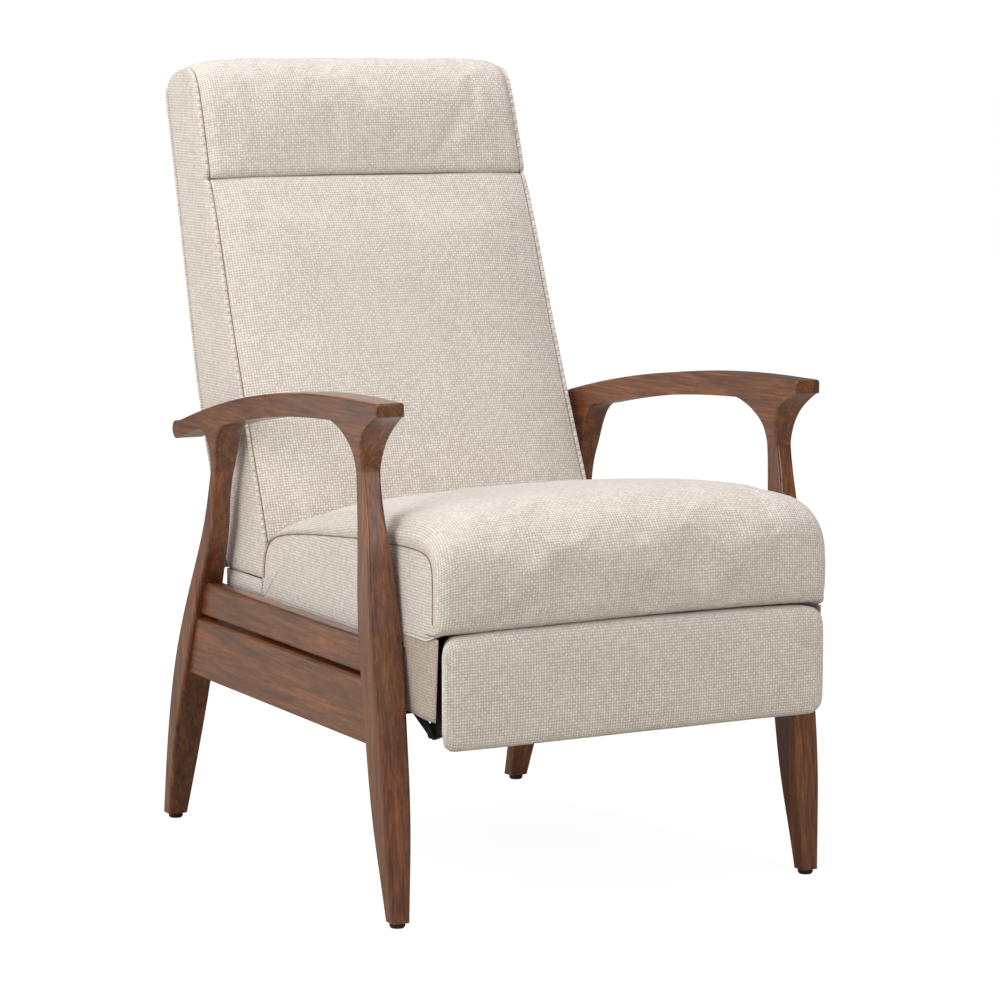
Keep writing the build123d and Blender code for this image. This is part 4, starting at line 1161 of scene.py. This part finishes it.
@dataclass(frozen=True)
class Upholstery:
    """Cushions, side panels, footrest pad, skirts and trim."""

    cloth: BasketTweed = BasketTweed("basket_tweed")
    # the same tweed painted darker for the skirts: painted shade where the front legs and lower
    # rails shadow them
    painted_shade_cloth: BasketTweed = BasketTweed("basket_tweed_painted_shade", "#d3c7b9", "#86745f")
    thread: Plain = Plain("seam_thread", "#8f7a62", 0.95)

    def dress(self) -> None:
        """Build and dress every soft piece."""
        cloth = self.cloth.material()
        shaded = self.painted_shade_cloth.material()
        thread = self.thread.material()
        for cover in COVERS:
            cover.dress(cloth)
            LOG.info("cover %s", cover.name)
        for side in SIDES:
            SidePanel(side).dress(cloth)
            # skirts take the darker tweed, with its painted shade
            Skirt(side).dress(shaded)
        TailBand().dress(cloth)
        Trim(cloth, thread).dress()


def aimed(name: str, data: bpy.types.ID, place: Vector, target: Vector) -> Object:
    """Add a lamp or camera that looks at a target.

    Args:
        name: Name of the object.
        data: Light or camera.
        place: Where it stands, in metres.
        target: Point that it looks at, in metres.

    Returns:
        The new object.
    """
    obj = bpy.data.objects.new(name, data)
    obj.location = place
    obj.rotation_euler = (target - place).to_track_quat("-Z", "Y").to_euler()
    bpy.context.scene.collection.objects.link(obj)
    return obj


@dataclass
class Studio:
    """White sweep, soft lights and the camera at the photograph's place."""

    camera_place: Triple = (-2385.0, -4335.7, 1109.0)
    camera_target: Triple = (-24.0, -119.7, 490.0)
    lens: float = 133.31

    # Square soft lights aimed at the chair: name, place and size in metres, power in watts
    LAMPS = (
        ("window", (-3.4, -0.4, 1.9), 2.6, 72.0), ("front", (0.4, -4.2, 2.2), 2.0, 51.0),
        ("top", (-0.4, 0.2, 3.4), 2.4, 46.0), ("low", (-1.5, 1.5, 0.5), 1.2, 2.5),
    )
    AIM = (0.0, 0.0, 0.45)
    # Strength of the world's light, and what it loses in reflections, as between dark studio walls
    WORLD, REFLECTED_LOSS = 0.46, 0.3

    def build(self) -> None:
        """Set up floor, world, lights and camera."""
        self._floor()
        self._world()
        for name, place, size, power in self.LAMPS:
            lamp = bpy.data.lights.new(name, "AREA")
            lamp.size = size
            lamp.energy = power
            aimed(name, lamp, Vector(place), Vector(self.AIM))
        self._camera()
        scene = bpy.context.scene
        scene.view_settings.view_transform = "Standard"
        scene.view_settings.look = "None"

    def _floor(self) -> None:
        """Pale floor that the camera sees as nearly white, with faint contact shadows."""
        mesh = bpy.data.meshes.new("floor")
        half = 60
        corners = [(-half, -half, 0), (half, -half, 0), (half, half, 0), (-half, half, 0)]
        mesh.from_pydata(corners, [], [(0, 1, 2, 3)])
        floor = bpy.data.objects.new("floor", mesh)
        bpy.context.scene.collection.objects.link(floor)
        g = Graph(bpy.data.materials.new("white_sweep"))
        ray = g.add("LightPath").outputs["Is Camera Ray"]
        white = g.add("Emission", {"Color": (1, 1, 1, 1), "Strength": 0.93}).outputs[0]
        faint = g.add("BsdfDiffuse", {"Color": (0.16, 0.16, 0.16, 1)}).outputs[0]
        matt = g.add("BsdfDiffuse", {"Color": (0.42, 0.38, 0.33, 1)}).outputs[0]
        seen = g.add("AddShader", {0: white, 1: faint}).outputs[0]
        paint(floor, g.finish(g.add("MixShader", {0: ray, 1: matt, 2: seen})))

    def _world(self) -> None:
        """White background for the camera, softer white light for the object."""
        world = bpy.data.worlds.new("studio")
        bpy.context.scene.world = world
        g = Graph(world)
        path = g.add("LightPath").outputs
        level = g.math("MULTIPLY_ADD", path["Is Glossy Ray"], -self.REFLECTED_LOSS, self.WORLD)
        soft = g.add("Background", {0: (1.0, 0.99, 0.98, 1), 1: level}).outputs[0]
        white = g.add("Background", {0: (1, 1, 1, 1), 1: 1.0}).outputs[0]
        g.finish(g.add("MixShader", {0: path["Is Camera Ray"], 1: soft, 2: white}))

    def _camera(self) -> None:
        """Place the camera."""
        data = bpy.data.cameras.new("photo")
        data.lens = self.lens
        data.sensor_width = 36.0
        place, target = Vector(self.camera_place) * MM, Vector(self.camera_target) * MM
        bpy.context.scene.camera = aimed("photo", data, place, target)


def main() -> None:
    """Build the dressed recliner in its studio."""
    logging.basicConfig(level=logging.INFO)
    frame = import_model()
    nodes = frame["nodes"]
    Woodwork(nodes).dress()
    Mechanism(nodes).dress()
    Upholstery().dress()
    Studio().build()
    LOG.info("%d CAD nodes dressed", len(nodes))


if __name__ == "__main__":
    main()
